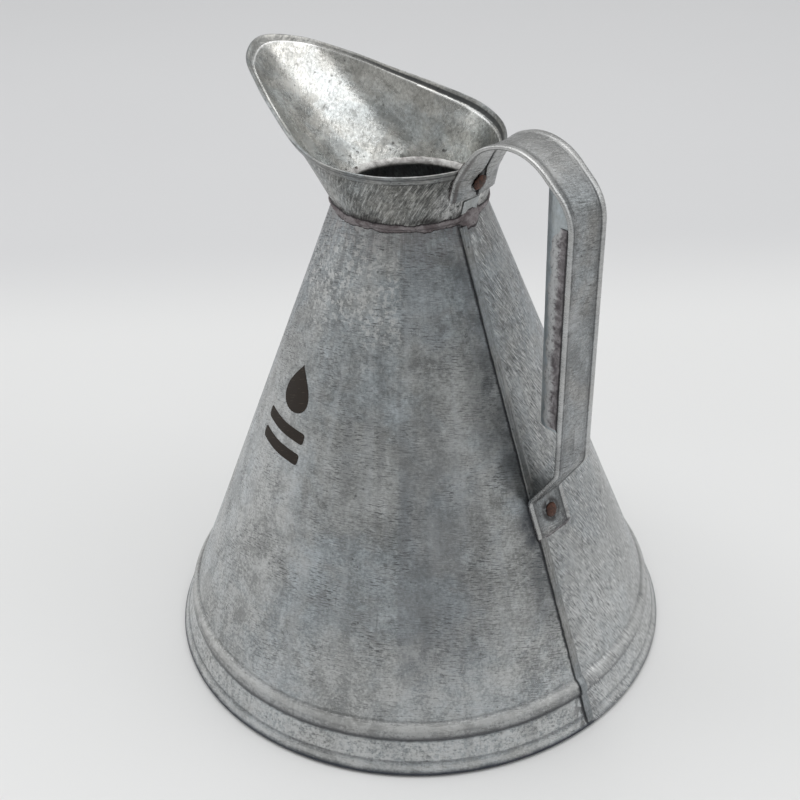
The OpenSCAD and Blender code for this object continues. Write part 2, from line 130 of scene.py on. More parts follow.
# ---------------------------------------------------------------- node helper
class Nodes:
    def __init__(self, name):
        self.mat = bpy.data.materials.new(name)
        self.mat.use_nodes = True
        self.nt = self.mat.node_tree
        self.nt.nodes.clear()
        self.out = self.nt.nodes.new("ShaderNodeOutputMaterial")
        self.bsdf = self.nt.nodes.new("ShaderNodeBsdfPrincipled")
        self.nt.links.new(self.bsdf.outputs[0], self.out.inputs[0])
        self.obj = self.nt.nodes.new("ShaderNodeTexCoord").outputs["Object"]

    def put(self, node, idx, v):
        if v is None:
            return
        if isinstance(v, bpy.types.NodeSocket):
            self.nt.links.new(v, node.inputs[idx])
        else:
            node.inputs[idx].default_value = v

    def uv(self):
        n = self.nt.nodes.new("ShaderNodeUVMap")
        n.uv_map = "flat"
        return n.outputs[0]

    def m(self, op, a, b=None, c=None, clamp=False):
        n = self.nt.nodes.new("ShaderNodeMath")
        n.operation, n.use_clamp = op, clamp
        self.put(n, 0, a), self.put(n, 1, b), self.put(n, 2, c)
        return n.outputs[0]

    def add(self, a, b): return self.m("ADD", a, b)
    def mul(self, a, b): return self.m("MULTIPLY", a, b)
    def sub(self, a, b): return self.m("SUBTRACT", a, b)
    def mx(self, a, b): return self.m("MAXIMUM", a, b)

    def vec(self, v, scale=(1, 1, 1), rot=0.0, loc=(0, 0, 0)):
        """v (metres) turned by rot degrees about z, then scaled per mm."""
        n = self.nt.nodes.new("ShaderNodeMapping")
        n.vector_type = "TEXTURE"
        n.inputs["Rotation"].default_value = (0, 0, math.radians(rot))
        n.inputs["Scale"].default_value = tuple(0.001 / s for s in scale)
        n.inputs["Location"].default_value = loc
        self.nt.links.new(v, n.inputs[0])
        return n.outputs[0]

    def noise(self, v, scale=1.0, detail=3.0, rough=0.55, dist=0.0):
        n = self.nt.nodes.new("ShaderNodeTexNoise")
        n.inputs["Scale"].default_value = scale
        n.inputs["Detail"].default_value = detail
        n.inputs["Roughness"].default_value = rough
        n.inputs["Distortion"].default_value = dist
        self.nt.links.new(v, n.inputs["Vector"])
        return n.outputs["Fac"]

    def voro(self, v, scale=1.0, feature="F1", out="Color", rnd=1.0):
        n = self.nt.nodes.new("ShaderNodeTexVoronoi")
        n.feature = feature
        n.inputs["Scale"].default_value = scale
        n.inputs["Randomness"].default_value = rnd
        self.nt.links.new(v, n.inputs["Vector"])
        return n.outputs[out]

    def step(self, v, a, b, lo=0.0, hi=1.0):
        """lo below a, hi above b, smooth between."""
        n = self.nt.nodes.new("ShaderNodeMapRange")
        n.interpolation_type = "SMOOTHSTEP"
        self.put(n, 0, v)
        if a <= b:
            n.inputs[1].default_value, n.inputs[2].default_value = a, b
            n.inputs[3].default_value, n.inputs[4].default_value = lo, hi
        else:
            n.inputs[1].default_value, n.inputs[2].default_value = b, a
            n.inputs[3].default_value, n.inputs[4].default_value = hi, lo
        return n.outputs[0]

    def grey(self, v):
        n = self.nt.nodes.new("ShaderNodeRGBToBW")
        self.nt.links.new(v, n.inputs[0])
        return n.outputs[0]

    def mix(self, f, a, b, mode="MIX"):
        n = self.nt.nodes.new("ShaderNodeMix")
        n.data_type, n.blend_type = "RGBA", mode
        self.put(n, 0, f)
        self.put(n, 6, (*a, 1) if isinstance(a, tuple) else a)
        self.put(n, 7, (*b, 1) if isinstance(b, tuple) else b)
        return n.outputs[2]

    def split(self, v):
        n = self.nt.nodes.new("ShaderNodeSeparateXYZ")
        self.nt.links.new(v, n.inputs[0])
        return n.outputs

    def vadd(self, a, b, k=1.0):
        """a + k*b for vectors; b may be a float socket."""
        s = self.nt.nodes.new("ShaderNodeVectorMath")
        s.operation = "MULTIPLY_ADD"
        self.nt.links.new(b, s.inputs[0])
        s.inputs[1].default_value = (k, k, k)
        self.nt.links.new(a, s.inputs[2])
        return s.outputs[0]

    def near(self, p, r0, r1):
        """1 within r0 mm of the point p (mm, row frame), 0 beyond r1."""
        n = self.nt.nodes.new("ShaderNodeVectorMath")
        n.operation = "DISTANCE"
        self.nt.links.new(self.obj, n.inputs[0])
        n.inputs[1].default_value = tuple(c * 0.001 for c in p)
        return self.step(n.outputs["Value"], r1 * 0.001, r0 * 0.001)

    def bump(self, h, strength, dist_mm, prev=None):
        n = self.nt.nodes.new("ShaderNodeBump")
        n.inputs["Strength"].default_value = strength
        n.inputs["Distance"].default_value = dist_mm * 0.001
        self.nt.links.new(h, n.inputs["Height"])
        if prev is not None:
            self.nt.links.new(prev, n.inputs["Normal"])
        return n.outputs[0]

    def done(self, color, rough, metal, normal=None):
        self.put(self.bsdf, "Base Color", (*color, 1) if isinstance(color, tuple) else color)
        self.put(self.bsdf, "Roughness", rough)
        self.put(self.bsdf, "Metallic", metal)
        if normal is not None:
            self.nt.links.new(normal, self.bsdf.inputs["Normal"])
        return self.mat


# ---------------------------------------------------------------- galvanised sheet
def galvanised(name, tone=(0.40, 0.42, 0.435), var=0.22, rough=0.40, metal=0.85,
               dash=1.0, dash_rot=0.0, dash_size=(0.10, 1.1), dash_cut=(0.60, 0.74),
               scratch=0.5, scratch_rot=20.0, spangle=0.06, spangle_mm=7.0,
               blotch=0.5, light=0.6, extra=None, use_uv=True):
    k = Nodes(name)
    P = k.vec(k.obj)                       # millimetres in the row frame
    F = k.uv() if use_uv else k.obj
    flat = k.vec(F)
    cloud = k.noise(P, 0.017, 6, 0.62)
    mott = k.noise(P, 0.085, 8, 0.72, 0.6)
    fine = k.noise(P, 0.75, 5, 0.65)
    # zinc crystals, faint, with ragged borders
    wob = k.vadd(flat, k.noise(flat, 0.35, 3), 3.0)
    sp = k.grey(k.voro(wob, 1.0 / spangle_mm))
    # rolling marks: short dark dashes that run one way in the flat sheet
    dv = k.vec(F, (dash_size[0], dash_size[1], 1), dash_rot)
    d1 = k.noise(dv, 1.0, 4, 0.62)
    where = k.step(k.noise(P, 0.045, 5, 0.62), 0.40, 0.62)
    dashes = k.mul(k.step(d1, *dash_cut), k.add(k.mul(where, 0.75), 0.25))
    fv = k.vec(F, (dash_size[0] * 1.9, dash_size[1] * 1.9, 1), dash_rot + 5)
    d2 = k.step(k.noise(fv, 1.0, 3, 0.6), 0.47, 0.66)
    # the light side of the same rubbing
    lv = k.vec(F, (dash_size[0] * 0.8, dash_size[1] * 1.1, 1), dash_rot - 3, (0.013, 0.021, 0))
    d3 = k.mul(k.step(k.noise(lv, 1.0, 4, 0.6), 0.55, 0.70), k.step(k.noise(P, 0.06, 4, 0.6), 0.42, 0.60))
    # handling scratches: thin lines
    sv = k.vec(F, (0.035, 1.4, 1), scratch_rot)
    s1 = k.step(k.m("ABSOLUTE", k.sub(k.noise(sv, 1.0, 2, 0.5), 0.5)), 0.012, 0.0)
    sv2 = k.vec(F, (0.05, 1.1, 1), scratch_rot - 67)
    s2 = k.step(k.m("ABSOLUTE", k.sub(k.noise(sv2, 1.0, 2, 0.5), 0.47)), 0.008, 0.0)
    scr = k.mul(k.mx(s1, k.mul(s2, 0.6)), k.step(k.noise(P, 0.03, 3), 0.47, 0.60))
    # oxide blotches and pits
    blot = k.step(k.noise(P, 0.055, 7, 0.74, 1.0), 0.50, 0.64)
    pits = k.mul(k.step(k.voro(P, 0.28, "F1", "Distance"), 0.20, 0.06),
                 k.step(k.noise(P, 0.12, 2), 0.53, 0.62))
    hue = k.step(k.noise(P, 0.028, 5, 0.62, 0.5), 0.40, 0.60)
    v = k.add(k.mul(k.sub(cloud, 0.5), 2.0), k.mul(k.sub(mott, 0.5), 2.4))
    v = k.add(v, k.mul(k.sub(fine, 0.5), 2.2))
    v = k.add(v, k.mul(k.sub(sp, 0.5), spangle * 8))
    f = k.m("ADD", k.mul(v, 1.0), 0.5, clamp=True)
    lo = tuple(c * (1 - var) * q for c, q in zip(tone, (1.0, 1.0, 0.99)))
    hi = tuple(min(1, c * (1 + var) * q) for c, q in zip(tone, (1.0, 1.0, 1.01)))
    col = k.mix(f, lo, hi)
    tint = k.mix(hue, (1.015, 1.0, 0.965), (0.955, 1.0, 1.02))
    col = k.mix(1.0, col, tint, "MULTIPLY")
    warm = tuple(c * q for c, q in zip(tone, (0.68, 0.66, 0.63)))
    col = k.mix(k.mul(blot, 0.60 * blotch), col, warm)
    dark = tuple(c * 0.30 for c in tone)
    col = k.mix(k.mul(dashes, min(1.0, 0.88 * dash)), col, dark)
    col = k.mix(k.mul(d2, min(1.0, 0.36 * dash)), col, dark)
    bright = tuple(min(1, c * 1.6) for c in tone)
    col = k.mix(k.mul(d3, min(1.0, 0.55 * light)), col, bright)
    col = k.mix(k.mul(scr, 0.65 * scratch), col, bright)
    col = k.mix(k.mul(pits, 0.8), col, tuple(c * 0.25 for c in tone))
    r = k.add(k.mul(k.sub(mott, 0.5), 0.45), rough)
    r = k.add(r, k.mul(k.sub(sp, 0.5), spangle * 2.0))
    r = k.add(r, k.mul(dashes, 0.20))
    r = k.add(r, k.mul(blot, 0.12 * blotch))
    h = k.add(k.mul(mott, 0.9), k.mul(fine, 0.32))
    h = k.sub(h, k.mul(dashes, 0.5 * dash))
    h = k.sub(h, k.mul(d2, 0.25 * dash))
    h = k.add(h, k.mul(d3, 0.25 * light))
    h = k.add(h, k.mul(scr, 0.3 * scratch))
    met = k.sub(metal, k.mul(blot, 0.18 * blotch))
    nrm = k.bump(h, 0.5, 0.22)
    if extra:
        col, r, met, nrm = extra(k, P, flat, col, r, met, nrm, mott, fine)
    r = k.m("MINIMUM", k.mx(r, 0.12), 0.9)
    return k.done(col, r, k.m("ADD", met, 0.0, clamp=True), nrm)


def arc_from(k, az):
    """Distance in mm round the cone from the generator at azimuth az, from -half to +half turn."""
    x, y, z = k.split(k.obj)[:3]
    a = math.radians(az)
    xr = k.add(k.mul(x, math.cos(a)), k.mul(y, math.sin(a)))
    yr = k.sub(k.mul(y, math.cos(a)), k.mul(x, math.sin(a)))
    ang = k.m("ARCTAN2", yr, xr)
    rad = k.m("SQRT", k.add(k.mul(x, x), k.mul(y, y)))
    return k.mul(k.mul(ang, rad), 1000.0), k.mul(z, 1000.0), ang


def body_extra(k, P, flat, col, r, met, nrm, mott, fine):
    s, z, ang = arc_from(k, SEAM_AZ)
    n1 = k.noise(P, 0.35, 4, 0.6)
    n2 = k.noise(P, 0.09, 3, 0.6)
    # flux and dirt in the open side of the seam, and left of the seam a halo of painted shade from the handle mixed
    # with dirt
    edge = k.add(s, k.mul(k.sub(n1, 0.5), 1.8))
    line = k.mul(k.step(edge, -3.6, -2.6), k.step(edge, -1.0, -1.6))
    seam_shade_and_dirt = k.mul(k.step(k.add(s, k.mul(k.sub(n2, 0.5), 14.0)), -17.0, -3.0), k.step(edge, -1.0, -1.6))
    seam_shade_and_dirt = k.mul(seam_shade_and_dirt, k.mul(k.step(z, 30.0, 75.0), k.add(k.mul(k.step(n2, 0.36, 0.60), 0.5), 0.5)))
    # fumes under the neck solder
    under = k.mul(k.step(k.add(z, k.mul(k.sub(n2, 0.5), 30.0)), 206.0, 222.0), k.step(n1, 0.36, 0.60))
    # black smudges where the seam meets the foot, and in the groove of the hem
    foot = k.mul(k.step(z, 30.0, 6.0), k.mul(k.step(k.m("ABSOLUTE", s), 13.0, 3.0), k.step(n1, 0.42, 0.58)))
    zz = k.add(z, k.mul(k.sub(n2, 0.5), 0.8))
    groove = k.mul(k.step(zz, 5.3, 6.1), k.step(zz, 7.1, 6.4))
    # painted shade on the lower half of the bead
    bead_lo = k.mul(k.step(zz, 14.9, 16.0), k.step(zz, 20.2, 16.8))
    bead_hi = k.mul(k.step(zz, 23.0, 24.0), k.step(zz, 25.2, 24.3))
    # painted shade along the bottom edge of the foot, where it meets the floor
    low = k.mul(k.step(zz, 3.3, 1.7), 0.95)
    beadtone = k.mul(k.step(z, 16.0, 17.0), k.step(z, 24.4, 23.4))
    col = k.mix(k.mul(beadtone, 0.62), col, (0.24, 0.236, 0.228))
    skirt = k.mul(k.step(z, 6.8, 7.6), k.step(z, 15.4, 14.4))
    col = k.mix(k.mul(k.mul(skirt, k.step(k.add(n1, k.sub(fine, 0.5)), 0.36, 0.60)), 0.60), col, (0.68, 0.685, 0.68))
    # painted highlights along the top of the bead and the top of the hem
    crest = k.mx(k.mul(k.step(zz, 20.4, 21.6), k.step(zz, 23.6, 22.6)), k.mul(k.step(zz, 2.9, 3.6), k.step(zz, 5.2, 4.6)))
    col = k.mix(k.mul(k.mul(crest, k.add(k.mul(n1, 0.9), 0.15)), 0.60), col, (0.78, 0.78, 0.77))
    # washes that run down the generators
    gen = k.nt.nodes.new("ShaderNodeCombineXYZ")
    k.put(gen, 0, k.mul(ang, 9.0)), k.put(gen, 1, k.mul(z, 0.012))
    wash = k.noise(gen.outputs[0], 1.0, 4, 0.55)
    col = k.mix(k.mul(k.step(wash, 0.50, 0.66), 0.34), col, (0.20, 0.205, 0.21))
    col = k.mix(k.mul(k.step(wash, 0.48, 0.34), 0.30), col, (0.50, 0.52, 0.54))
    gen2 = k.nt.nodes.new("ShaderNodeCombineXYZ")
    k.put(gen2, 0, k.mul(ang, 58.0)), k.put(gen2, 1, k.mul(z, 0.05))
    drip = k.mul(k.step(k.noise(gen2.outputs[0], 1.0, 4, 0.6), 0.60, 0.70), k.step(k.noise(P, 0.03, 4, 0.6), 0.46, 0.60))
    col = k.mix(k.mul(drip, 0.42), col, (0.13, 0.13, 0.13))
    # painted dark reflection along the flat whose edge runs straight down the sheet
    deg = math.pi / 180
    dark_reflection_flat = k.mul(k.step(ang, -46.6 * deg, -45.6 * deg), k.step(ang, -16 * deg, -34 * deg))
    lowm = k.mul(k.step(k.add(z, k.mul(k.sub(n2, 0.5), 60.0)), 165.0, 120.0), k.step(z, 28.0, 50.0))
    highm = k.step(k.add(z, k.mul(k.sub(n2, 0.5), 60.0)), 165.0, 195.0)
    col = k.mix(k.mul(k.mul(dark_reflection_flat, k.mx(lowm, k.mul(highm, 0.8))), 0.34), col, (0.17, 0.18, 0.195))
    deg = math.pi / 180
    # painted highlight: the left flank and the lower body are lightened in mottled patches
    flank = k.mx(k.mul(k.step(ang, -66 * deg, -100 * deg), k.step(z, 190.0, 110.0)), k.mul(k.step(z, 68.0, 34.0), 0.8))
    painted_light_patches = k.mul(flank, k.add(k.mul(k.step(k.add(mott, k.mul(k.sub(fine, 0.5), 0.9)), 0.44, 0.60), 0.75), 0.25))
    col = k.mix(k.mul(painted_light_patches, 0.52), col, (0.66, 0.665, 0.66))
    # painted highlight: a bright mottled patch on the upper body near the neck
    neck = k.mul(k.step(k.add(z, k.mul(k.sub(n2, 0.5), 60.0)), 165.0, 195.0), k.step(ang, -40 * deg, -52 * deg))
    neck_highlight = k.mul(neck, k.step(k.add(n1, k.mul(k.sub(fine, 0.5), 0.7)), 0.50, 0.62))
    col = k.mix(k.mul(neck_highlight, 0.55), col, (0.70, 0.70, 0.69))
    scuff2 = k.mul(k.step(z, 120.0, 190.0), k.step(k.add(n1, k.mul(k.sub(mott, 0.5), 1.2)), 0.36, 0.26))
    col = k.mix(k.mul(scuff2, 0.38), col, (0.12, 0.12, 0.125))
    # painted shade from the handle, mixed with dirt, darkens the sheet left of the seam
    col = k.mix(k.mul(seam_shade_and_dirt, 0.66), col, (0.085, 0.092, 0.10))
    # solder drips run down from the neck
    runs = k.mul(k.step(k.add(z, k.mul(k.sub(drip, 0.5), 8.0)), 188.0, 221.0), k.step(k.noise(gen2.outputs[0], 0.5, 5, 0.7), 0.47, 0.60))
    col = k.mix(k.mul(runs, 0.5), col, (0.16, 0.155, 0.155))
    col = k.mix(k.mul(line, 0.93), col, (0.025, 0.026, 0.03))
    col = k.mix(k.mul(under, 0.45), col, (0.20, 0.185, 0.19))
    col = k.mix(k.mul(foot, 0.75), col, (0.045, 0.045, 0.05))
    col = k.mix(k.mul(groove, k.add(k.mul(n1, 0.6), 0.15)), col, (0.06, 0.06, 0.065))
    # painted shade on the lower half of the bead
    col = k.mix(k.mul(bead_lo, 0.80), col, (0.06, 0.062, 0.07))
    col = k.mix(k.mul(bead_hi, 0.35), col, (0.12, 0.12, 0.12))
    # painted shade along the bottom edge of the foot, where it meets the floor
    col = k.mix(low, col, (0.035, 0.04, 0.055))
    # the sheet is lighter on the handle side of the seam
    side = k.mul(k.mul(k.step(s, 1.0, 3.0), k.step(ang, 1.6, 0.9)), k.step(z, 150.0, 60.0))
    col = k.mix(k.mul(side, 0.30), col, (0.60, 0.61, 0.615))
    # slanting rub marks on that side
    sd = k.nt.nodes.new("ShaderNodeCombineXYZ")
    zc = k.mul(z, 1.0 / math.cos(ANG))
    k.put(sd, 0, k.mul(k.sub(k.mul(s, 0.5), k.mul(zc, 0.866)), 0.20))
    k.put(sd, 1, k.mul(k.add(k.mul(s, 0.866), k.mul(zc, 0.5)), 1.7))
    rub = k.noise(sd.outputs[0], 1.0, 4, 0.6)
    sideall = k.mul(k.mul(k.step(s, 2.0, 3.0), k.step(ang, 1.7, 1.0)), k.add(k.mul(k.step(n2, 0.36, 0.58), 0.6), 0.4))
    col = k.mix(k.mul(k.mul(sideall, k.step(rub, 0.47, 0.41)), 0.55), col, (0.10, 0.105, 0.11))
    col = k.mix(k.mul(k.mul(sideall, k.step(rub, 0.54, 0.61)), 0.70), col, (0.74, 0.745, 0.74))
    shade = k.mul(k.mul(k.step(s, 1.5, 2.5), k.step(s, 12.0, 3.0)), k.step(n1, 0.35, 0.6))
    col = k.mix(k.mul(shade, 0.35), col, (0.15, 0.155, 0.16))
    # dark patches round the lower tab of the handle
    tab = k.mul(k.mx(k.near((83, -12, 99), 3.5, 9), k.near((86, -12.5, 92), 3.0, 8)), k.add(k.mul(k.step(n1, 0.40, 0.56), 0.4), 0.6))
    tab = k.mx(tab, k.mul(k.near((86, 9, 91), 4, 9), k.mul(k.step(n1, 0.46, 0.58), 0.6)))
    col = k.mix(k.mul(tab, 0.85), col, (0.04, 0.045, 0.055))
    dirt = k.mx(k.mx(line, foot), k.mx(groove, tab))
    r = k.add(r, k.mul(dirt, 0.25))
    met = k.sub(met, k.mul(dirt, 0.6))
    nrm = k.bump(k.mul(line, -1.0), 0.5, 0.4, nrm)
    return col, r, met, nrm


def spout_out_extra(k, P, flat, col, r, met, nrm, mott, fine):
    x, y, z = k.split(P)[:3]
    n1 = k.noise(P, 0.4, 4, 0.65)
    d = k.split(flat)[1]                   # minus the distance below the rim
    # tinned and scraped patch round the upper tab
    white = k.mul(k.near((37, -3, 234), 9, 19), k.step(n1, 0.34, 0.52))
    col = k.mix(k.mul(white, 0.80), col, (0.66, 0.66, 0.65))
    lines = k.step(k.noise(k.vec(k.obj, (0.9, 0.9, 0.07)), 1.0, 4, 0.6), 0.50, 0.60)
    col = k.mix(k.mul(k.mul(white, lines), 0.70), col, (0.08, 0.08, 0.08))
    slant = k.nt.nodes.new("ShaderNodeCombineXYZ")
    fu, fv = k.split(flat)[:2]
    k.put(slant, 0, k.mul(k.sub(k.mul(fv, 0.89), k.mul(fu, 0.45)), 0.16))
    k.put(slant, 1, k.mul(k.add(k.mul(fu, 0.89), k.mul(fv, 0.45)), 1.6))
    cut = k.noise(slant.outputs[0], 1.0, 4, 0.6)
    col = k.mix(k.mul(k.step(cut, 0.47, 0.40), 0.45), col, (0.07, 0.07, 0.07))
    col = k.mix(k.mul(k.step(cut, 0.55, 0.63), 0.40), col, (0.66, 0.66, 0.65))
    # painted shadow line under the hem, flux over the solder
    line = k.mul(k.step(d, -RIM_HEM - 1.6, -RIM_HEM - 0.3), k.add(k.mul(n1, 0.6), 0.45))
    col = k.mix(k.mul(line, 0.75), col, (0.045, 0.045, 0.05))
    low = k.mul(k.step(k.add(z, k.mul(k.sub(n1, 0.5), 5.0)), 230.5, 227.0), k.step(mott, 0.40, 0.55))
    col = k.mix(k.mul(low, 0.8), col, (0.05, 0.045, 0.045))
    speck = k.mul(k.near((36, 0, 230), 7, 15), k.step(k.voro(P, 0.33, "F1", "Distance"), 0.26, 0.14))
    col = k.mix(k.mul(speck, 0.9), col, (0.02, 0.02, 0.02))
    r = k.add(r, k.mul(k.mx(k.mx(low, line), speck), 0.2))
    return col, r, met, nrm


def spout_in_extra(k, P, flat, col, r, met, nrm, mott, fine):
    x, y, z = k.split(P)[:3]
    n1 = k.noise(P, 0.4, 4, 0.65)
    d = k.split(flat)[1]
    # oxide map with crisp islands, as zinc weathers where water stands
    isl = k.mul(k.step(k.noise(P, 0.075, 6, 0.66, 0.9), 0.54, 0.565), k.step(k.noise(P, 0.03, 3), 0.38, 0.55))
    col = k.mix(k.mul(isl, 0.42), col, (0.22, 0.225, 0.22))
    swirl = k.step(k.m("ABSOLUTE", k.sub(k.noise(P, 0.16, 6, 0.7, 1.6), 0.5)), 0.022, 0.004)
    swirl = k.mul(swirl, k.step(k.noise(P, 0.05, 3), 0.46, 0.60))
    col = k.mix(k.mul(swirl, 0.55), col, (0.10, 0.10, 0.10))
    # painted shade in the recess behind the hem, strongest on the far side, lighter near the top where it is lit
    recess_shade_mask = k.step(k.add(d, k.mul(k.sub(n1, 0.5), 0.7)), -RIM_HEM - 0.55, -RIM_HEM - 0.1)
    far = k.mul(k.step(y, 4.0, 26.0), k.step(x, -80.0, -40.0))
    lit = k.step(d, -1.55 , -0.95)
    recess_shade = k.mul(k.mul(recess_shade_mask, k.sub(1.0, k.mul(lit, 0.75))), k.add(k.mul(far, 0.55), 0.35))
    col = k.mix(recess_shade, col, (0.045, 0.047, 0.05))
    # painted highlight along the ledge below the hem
    shine = k.mul(k.step(d, -RIM_HEM - 2.0, -RIM_HEM - 1.4), k.step(d, -RIM_HEM - 0.7, -RIM_HEM - 1.0))
    col = k.mix(k.mul(shine, 0.55), col, (0.85, 0.85, 0.85))
    # flux specks over the mouth
    speck = k.mul(k.step(k.voro(P, 0.36, "F1", "Distance"), 0.34, 0.18),
                  k.mul(k.step(k.add(z, k.mul(k.sub(mott, 0.5), 16.0)), 238.0, 228.5), k.step(n1, 0.50, 0.58)))
    col = k.mix(k.mul(speck, 0.85), col, (0.05, 0.045, 0.045))
    back = k.mul(k.step(x, -5.0, 22.0), k.step(n1, 0.46, 0.60))
    col = k.mix(k.mul(back, 0.45), col, (0.12, 0.12, 0.12))
    r = k.add(r, k.mul(k.mx(speck, recess_shade_mask), 0.3))
    r = k.add(r, k.mul(isl, 0.08))
    return col, r, met, nrm


STRAP_A = 23.2


def strap_extra(k, P, flat, col, r, met, nrm, mott, fine):
    q, along = k.split(flat)[:2]
    n1 = k.noise(P, 0.4, 4, 0.65)
    fold = k.sub(STRAP_A, k.m("ABSOLUTE", k.sub(q, STRAP_A)))       # 0 in the middle of the outer face
    fw = k.add(fold, k.mul(k.sub(n1, 0.5), 0.35))
    step = k.mul(k.step(fw, 7.1, 7.55), k.step(fw, 8.15, 7.75))
    edge = k.mul(k.step(fw, 10.9, 11.5), k.step(fw, 12.9, 12.2))
    band = k.mul(k.step(fw, 8.1, 8.5), k.step(fw, 10.9, 10.4))
    crack = k.step(fw, STRAP_A - 1.15, STRAP_A - 0.6)
    inner = k.mul(k.step(fw, 4.2, 6.4), k.step(fw, 7.8, 7.2))
    # painted shade in the recessed middle just inside the step, and a painted highlight on the rounded band along each
    # edge
    col = k.mix(k.mul(inner, k.mul(n1, 0.75)), col, (0.085, 0.088, 0.092))
    col = k.mix(k.mul(band, 0.50), col, (0.62, 0.62, 0.615))
    col = k.mix(k.mul(step, 0.66), col, (0.05, 0.05, 0.052))
    col = k.mix(k.mul(edge, 0.55), col, (0.085, 0.065, 0.06))
    col = k.mix(k.mul(crack, 0.9), col, (0.012, 0.012, 0.014))
    # uneven rubbing along the strap
    lng = k.noise(k.vec(k.uv(), (0.02, 0.030, 1)), 1.0, 5, 0.62)
    col = k.mix(k.mul(k.step(lng, 0.50, 0.66), 0.45), col, (0.115, 0.12, 0.125))
    col = k.mix(k.mul(k.step(lng, 0.46, 0.32), 0.45), col, (0.58, 0.59, 0.60))
    hz = k.split(P)[2]
    # painted highlight along the top of the arch
    crown = k.mul(k.step(hz, 250.0, 262.0), k.add(k.mul(n1, 0.8), 0.1))
    col = k.mix(k.mul(crown, 0.75), col, (0.64, 0.64, 0.635))
    # stains round the rivets and at the ends
    ring = k.mul(k.near(LO_RIVET, 4.5, 6.6), k.step(n1, 0.34, 0.50))
    ring2 = k.mul(k.near(UP_RIVET, 3.6, 5.2), k.step(n1, 0.36, 0.56))
    col = k.mix(k.mul(k.mx(ring, k.mul(ring2, 0.6)), 0.88), col, (0.035, 0.033, 0.034))
    tip = k.mul(k.mx(k.near((86, 8, 90), 2.5, 8.0), k.near((86, -1, 89), 1.5, 5.0)), k.step(k.noise(P, 0.35, 4, 0.65), 0.38, 0.56))
    col = k.mix(k.mul(tip, 0.72), col, (0.075, 0.07, 0.078))
    tip2 = k.mul(k.near((37, 0, 235), 6.0, 16.0), k.step(k.noise(P, 0.25, 4, 0.65), 0.50, 0.60))
    col = k.mix(k.mul(tip2, 0.5), col, (0.10, 0.095, 0.095))
    dirt = k.mx(k.mx(step, edge), k.mx(ring, crack))
    r = k.add(r, k.mul(dirt, 0.2))
    met = k.sub(met, k.mul(dirt, 0.4))
    return col, r, met, nrm


M = {}
LO_RIVET = (83.3, 0.0, 99.8)
UP_RIVET = (39.4, 0.0, 241.7)
M["body"] = galvanised("galvanised_body_finish", tone=(0.40, 0.414, 0.424), var=0.36, rough=0.35, metal=0.88,
                       dash=1.1, dash_rot=0.0, dash_size=(0.24, 1.7), dash_cut=(0.51, 0.60), light=1.1, extra=body_extra,
                       blotch=0.75, spangle=0.03)
M["seam"] = galvanised("galvanised_seam_finish", tone=(0.285, 0.29, 0.295), var=0.28, rough=0.38, metal=0.88,
                       dash=0.8, dash_rot=88, dash_size=(0.12, 1.3), dash_cut=(0.52, 0.66), scratch=0.7, scratch_rot=88, spangle=0.02)
M["base"] = galvanised("galvanised_base_finish", tone=(0.40, 0.415, 0.425), var=0.26, rough=0.36, metal=0.9,
                       dash=0.7, dash_size=(0.2, 1.2), spangle=0.09, spangle_mm=12, use_uv=False)
M["spout"] = galvanised("galvanised_spout_inner_finish", tone=(0.49, 0.49, 0.478), var=0.36, rough=0.25, metal=0.92,
                        dash=0.75, dash_rot=62, dash_size=(0.18, 1.2), dash_cut=(0.56, 0.68), scratch=0.6, light=0.4,
                        scratch_rot=60, spangle=0.05, blotch=0.9, extra=spout_in_extra)
M["spout_out"] = galvanised("galvanised_spout_outer_finish", tone=(0.285, 0.288, 0.28), var=0.50, rough=0.28, metal=0.9,
                            dash=1.4, dash_rot=-66, dash_size=(0.20, 1.55), dash_cut=(0.47, 0.56), scratch=1.2, light=2.0,
                            scratch_rot=-62, spangle=0.04, blotch=1.0, extra=spout_out_extra)
M["strap"] = galvanised("galvanised_strap_finish", tone=(0.295, 0.30, 0.303), var=0.38, rough=0.24, metal=0.93,
                        dash=0.95, dash_rot=12, dash_size=(0.16, 1.5), dash_cut=(0.52, 0.64), scratch=0.9, light=1.5,
                        scratch_rot=10, spangle=0.02, blotch=0.7, extra=strap_extra)


def solder_mat(name, light=(0.31, 0.285, 0.29), dark=(0.10, 0.08, 0.083), white=0.25):
    k = Nodes(name)
    P = k.vec(k.obj)
    a = k.noise(P, 0.16, 6, 0.7, 0.6)
    b = k.noise(P, 0.7, 5, 0.65)
    c = k.noise(P, 0.05, 3, 0.6)
    col = k.mix(k.step(a, 0.36, 0.66), dark, light)
    col = k.mix(k.mul(k.step(c, 0.50, 0.66), white), col, (0.62, 0.62, 0.61))
    pits = k.mul(k.step(k.voro(P, 0.5, "F1", "Distance"), 0.22, 0.08), k.step(a, 0.46, 0.60))
    col = k.mix(k.mul(pits, 0.85), col, (0.03, 0.026, 0.028))
    col = k.mix(k.mul(k.step(b, 0.56, 0.74), 0.35), col, (0.07, 0.06, 0.06))
    r = k.add(k.mul(a, 0.35), 0.34)
    h = k.add(k.mul(a, 1.0), k.mul(b, 0.25))
    h = k.sub(h, k.mul(pits, 0.6))
    return k.done(col, r, k.sub(0.72, k.mul(pits, 0.5)), k.bump(h, 0.7, 0.5))


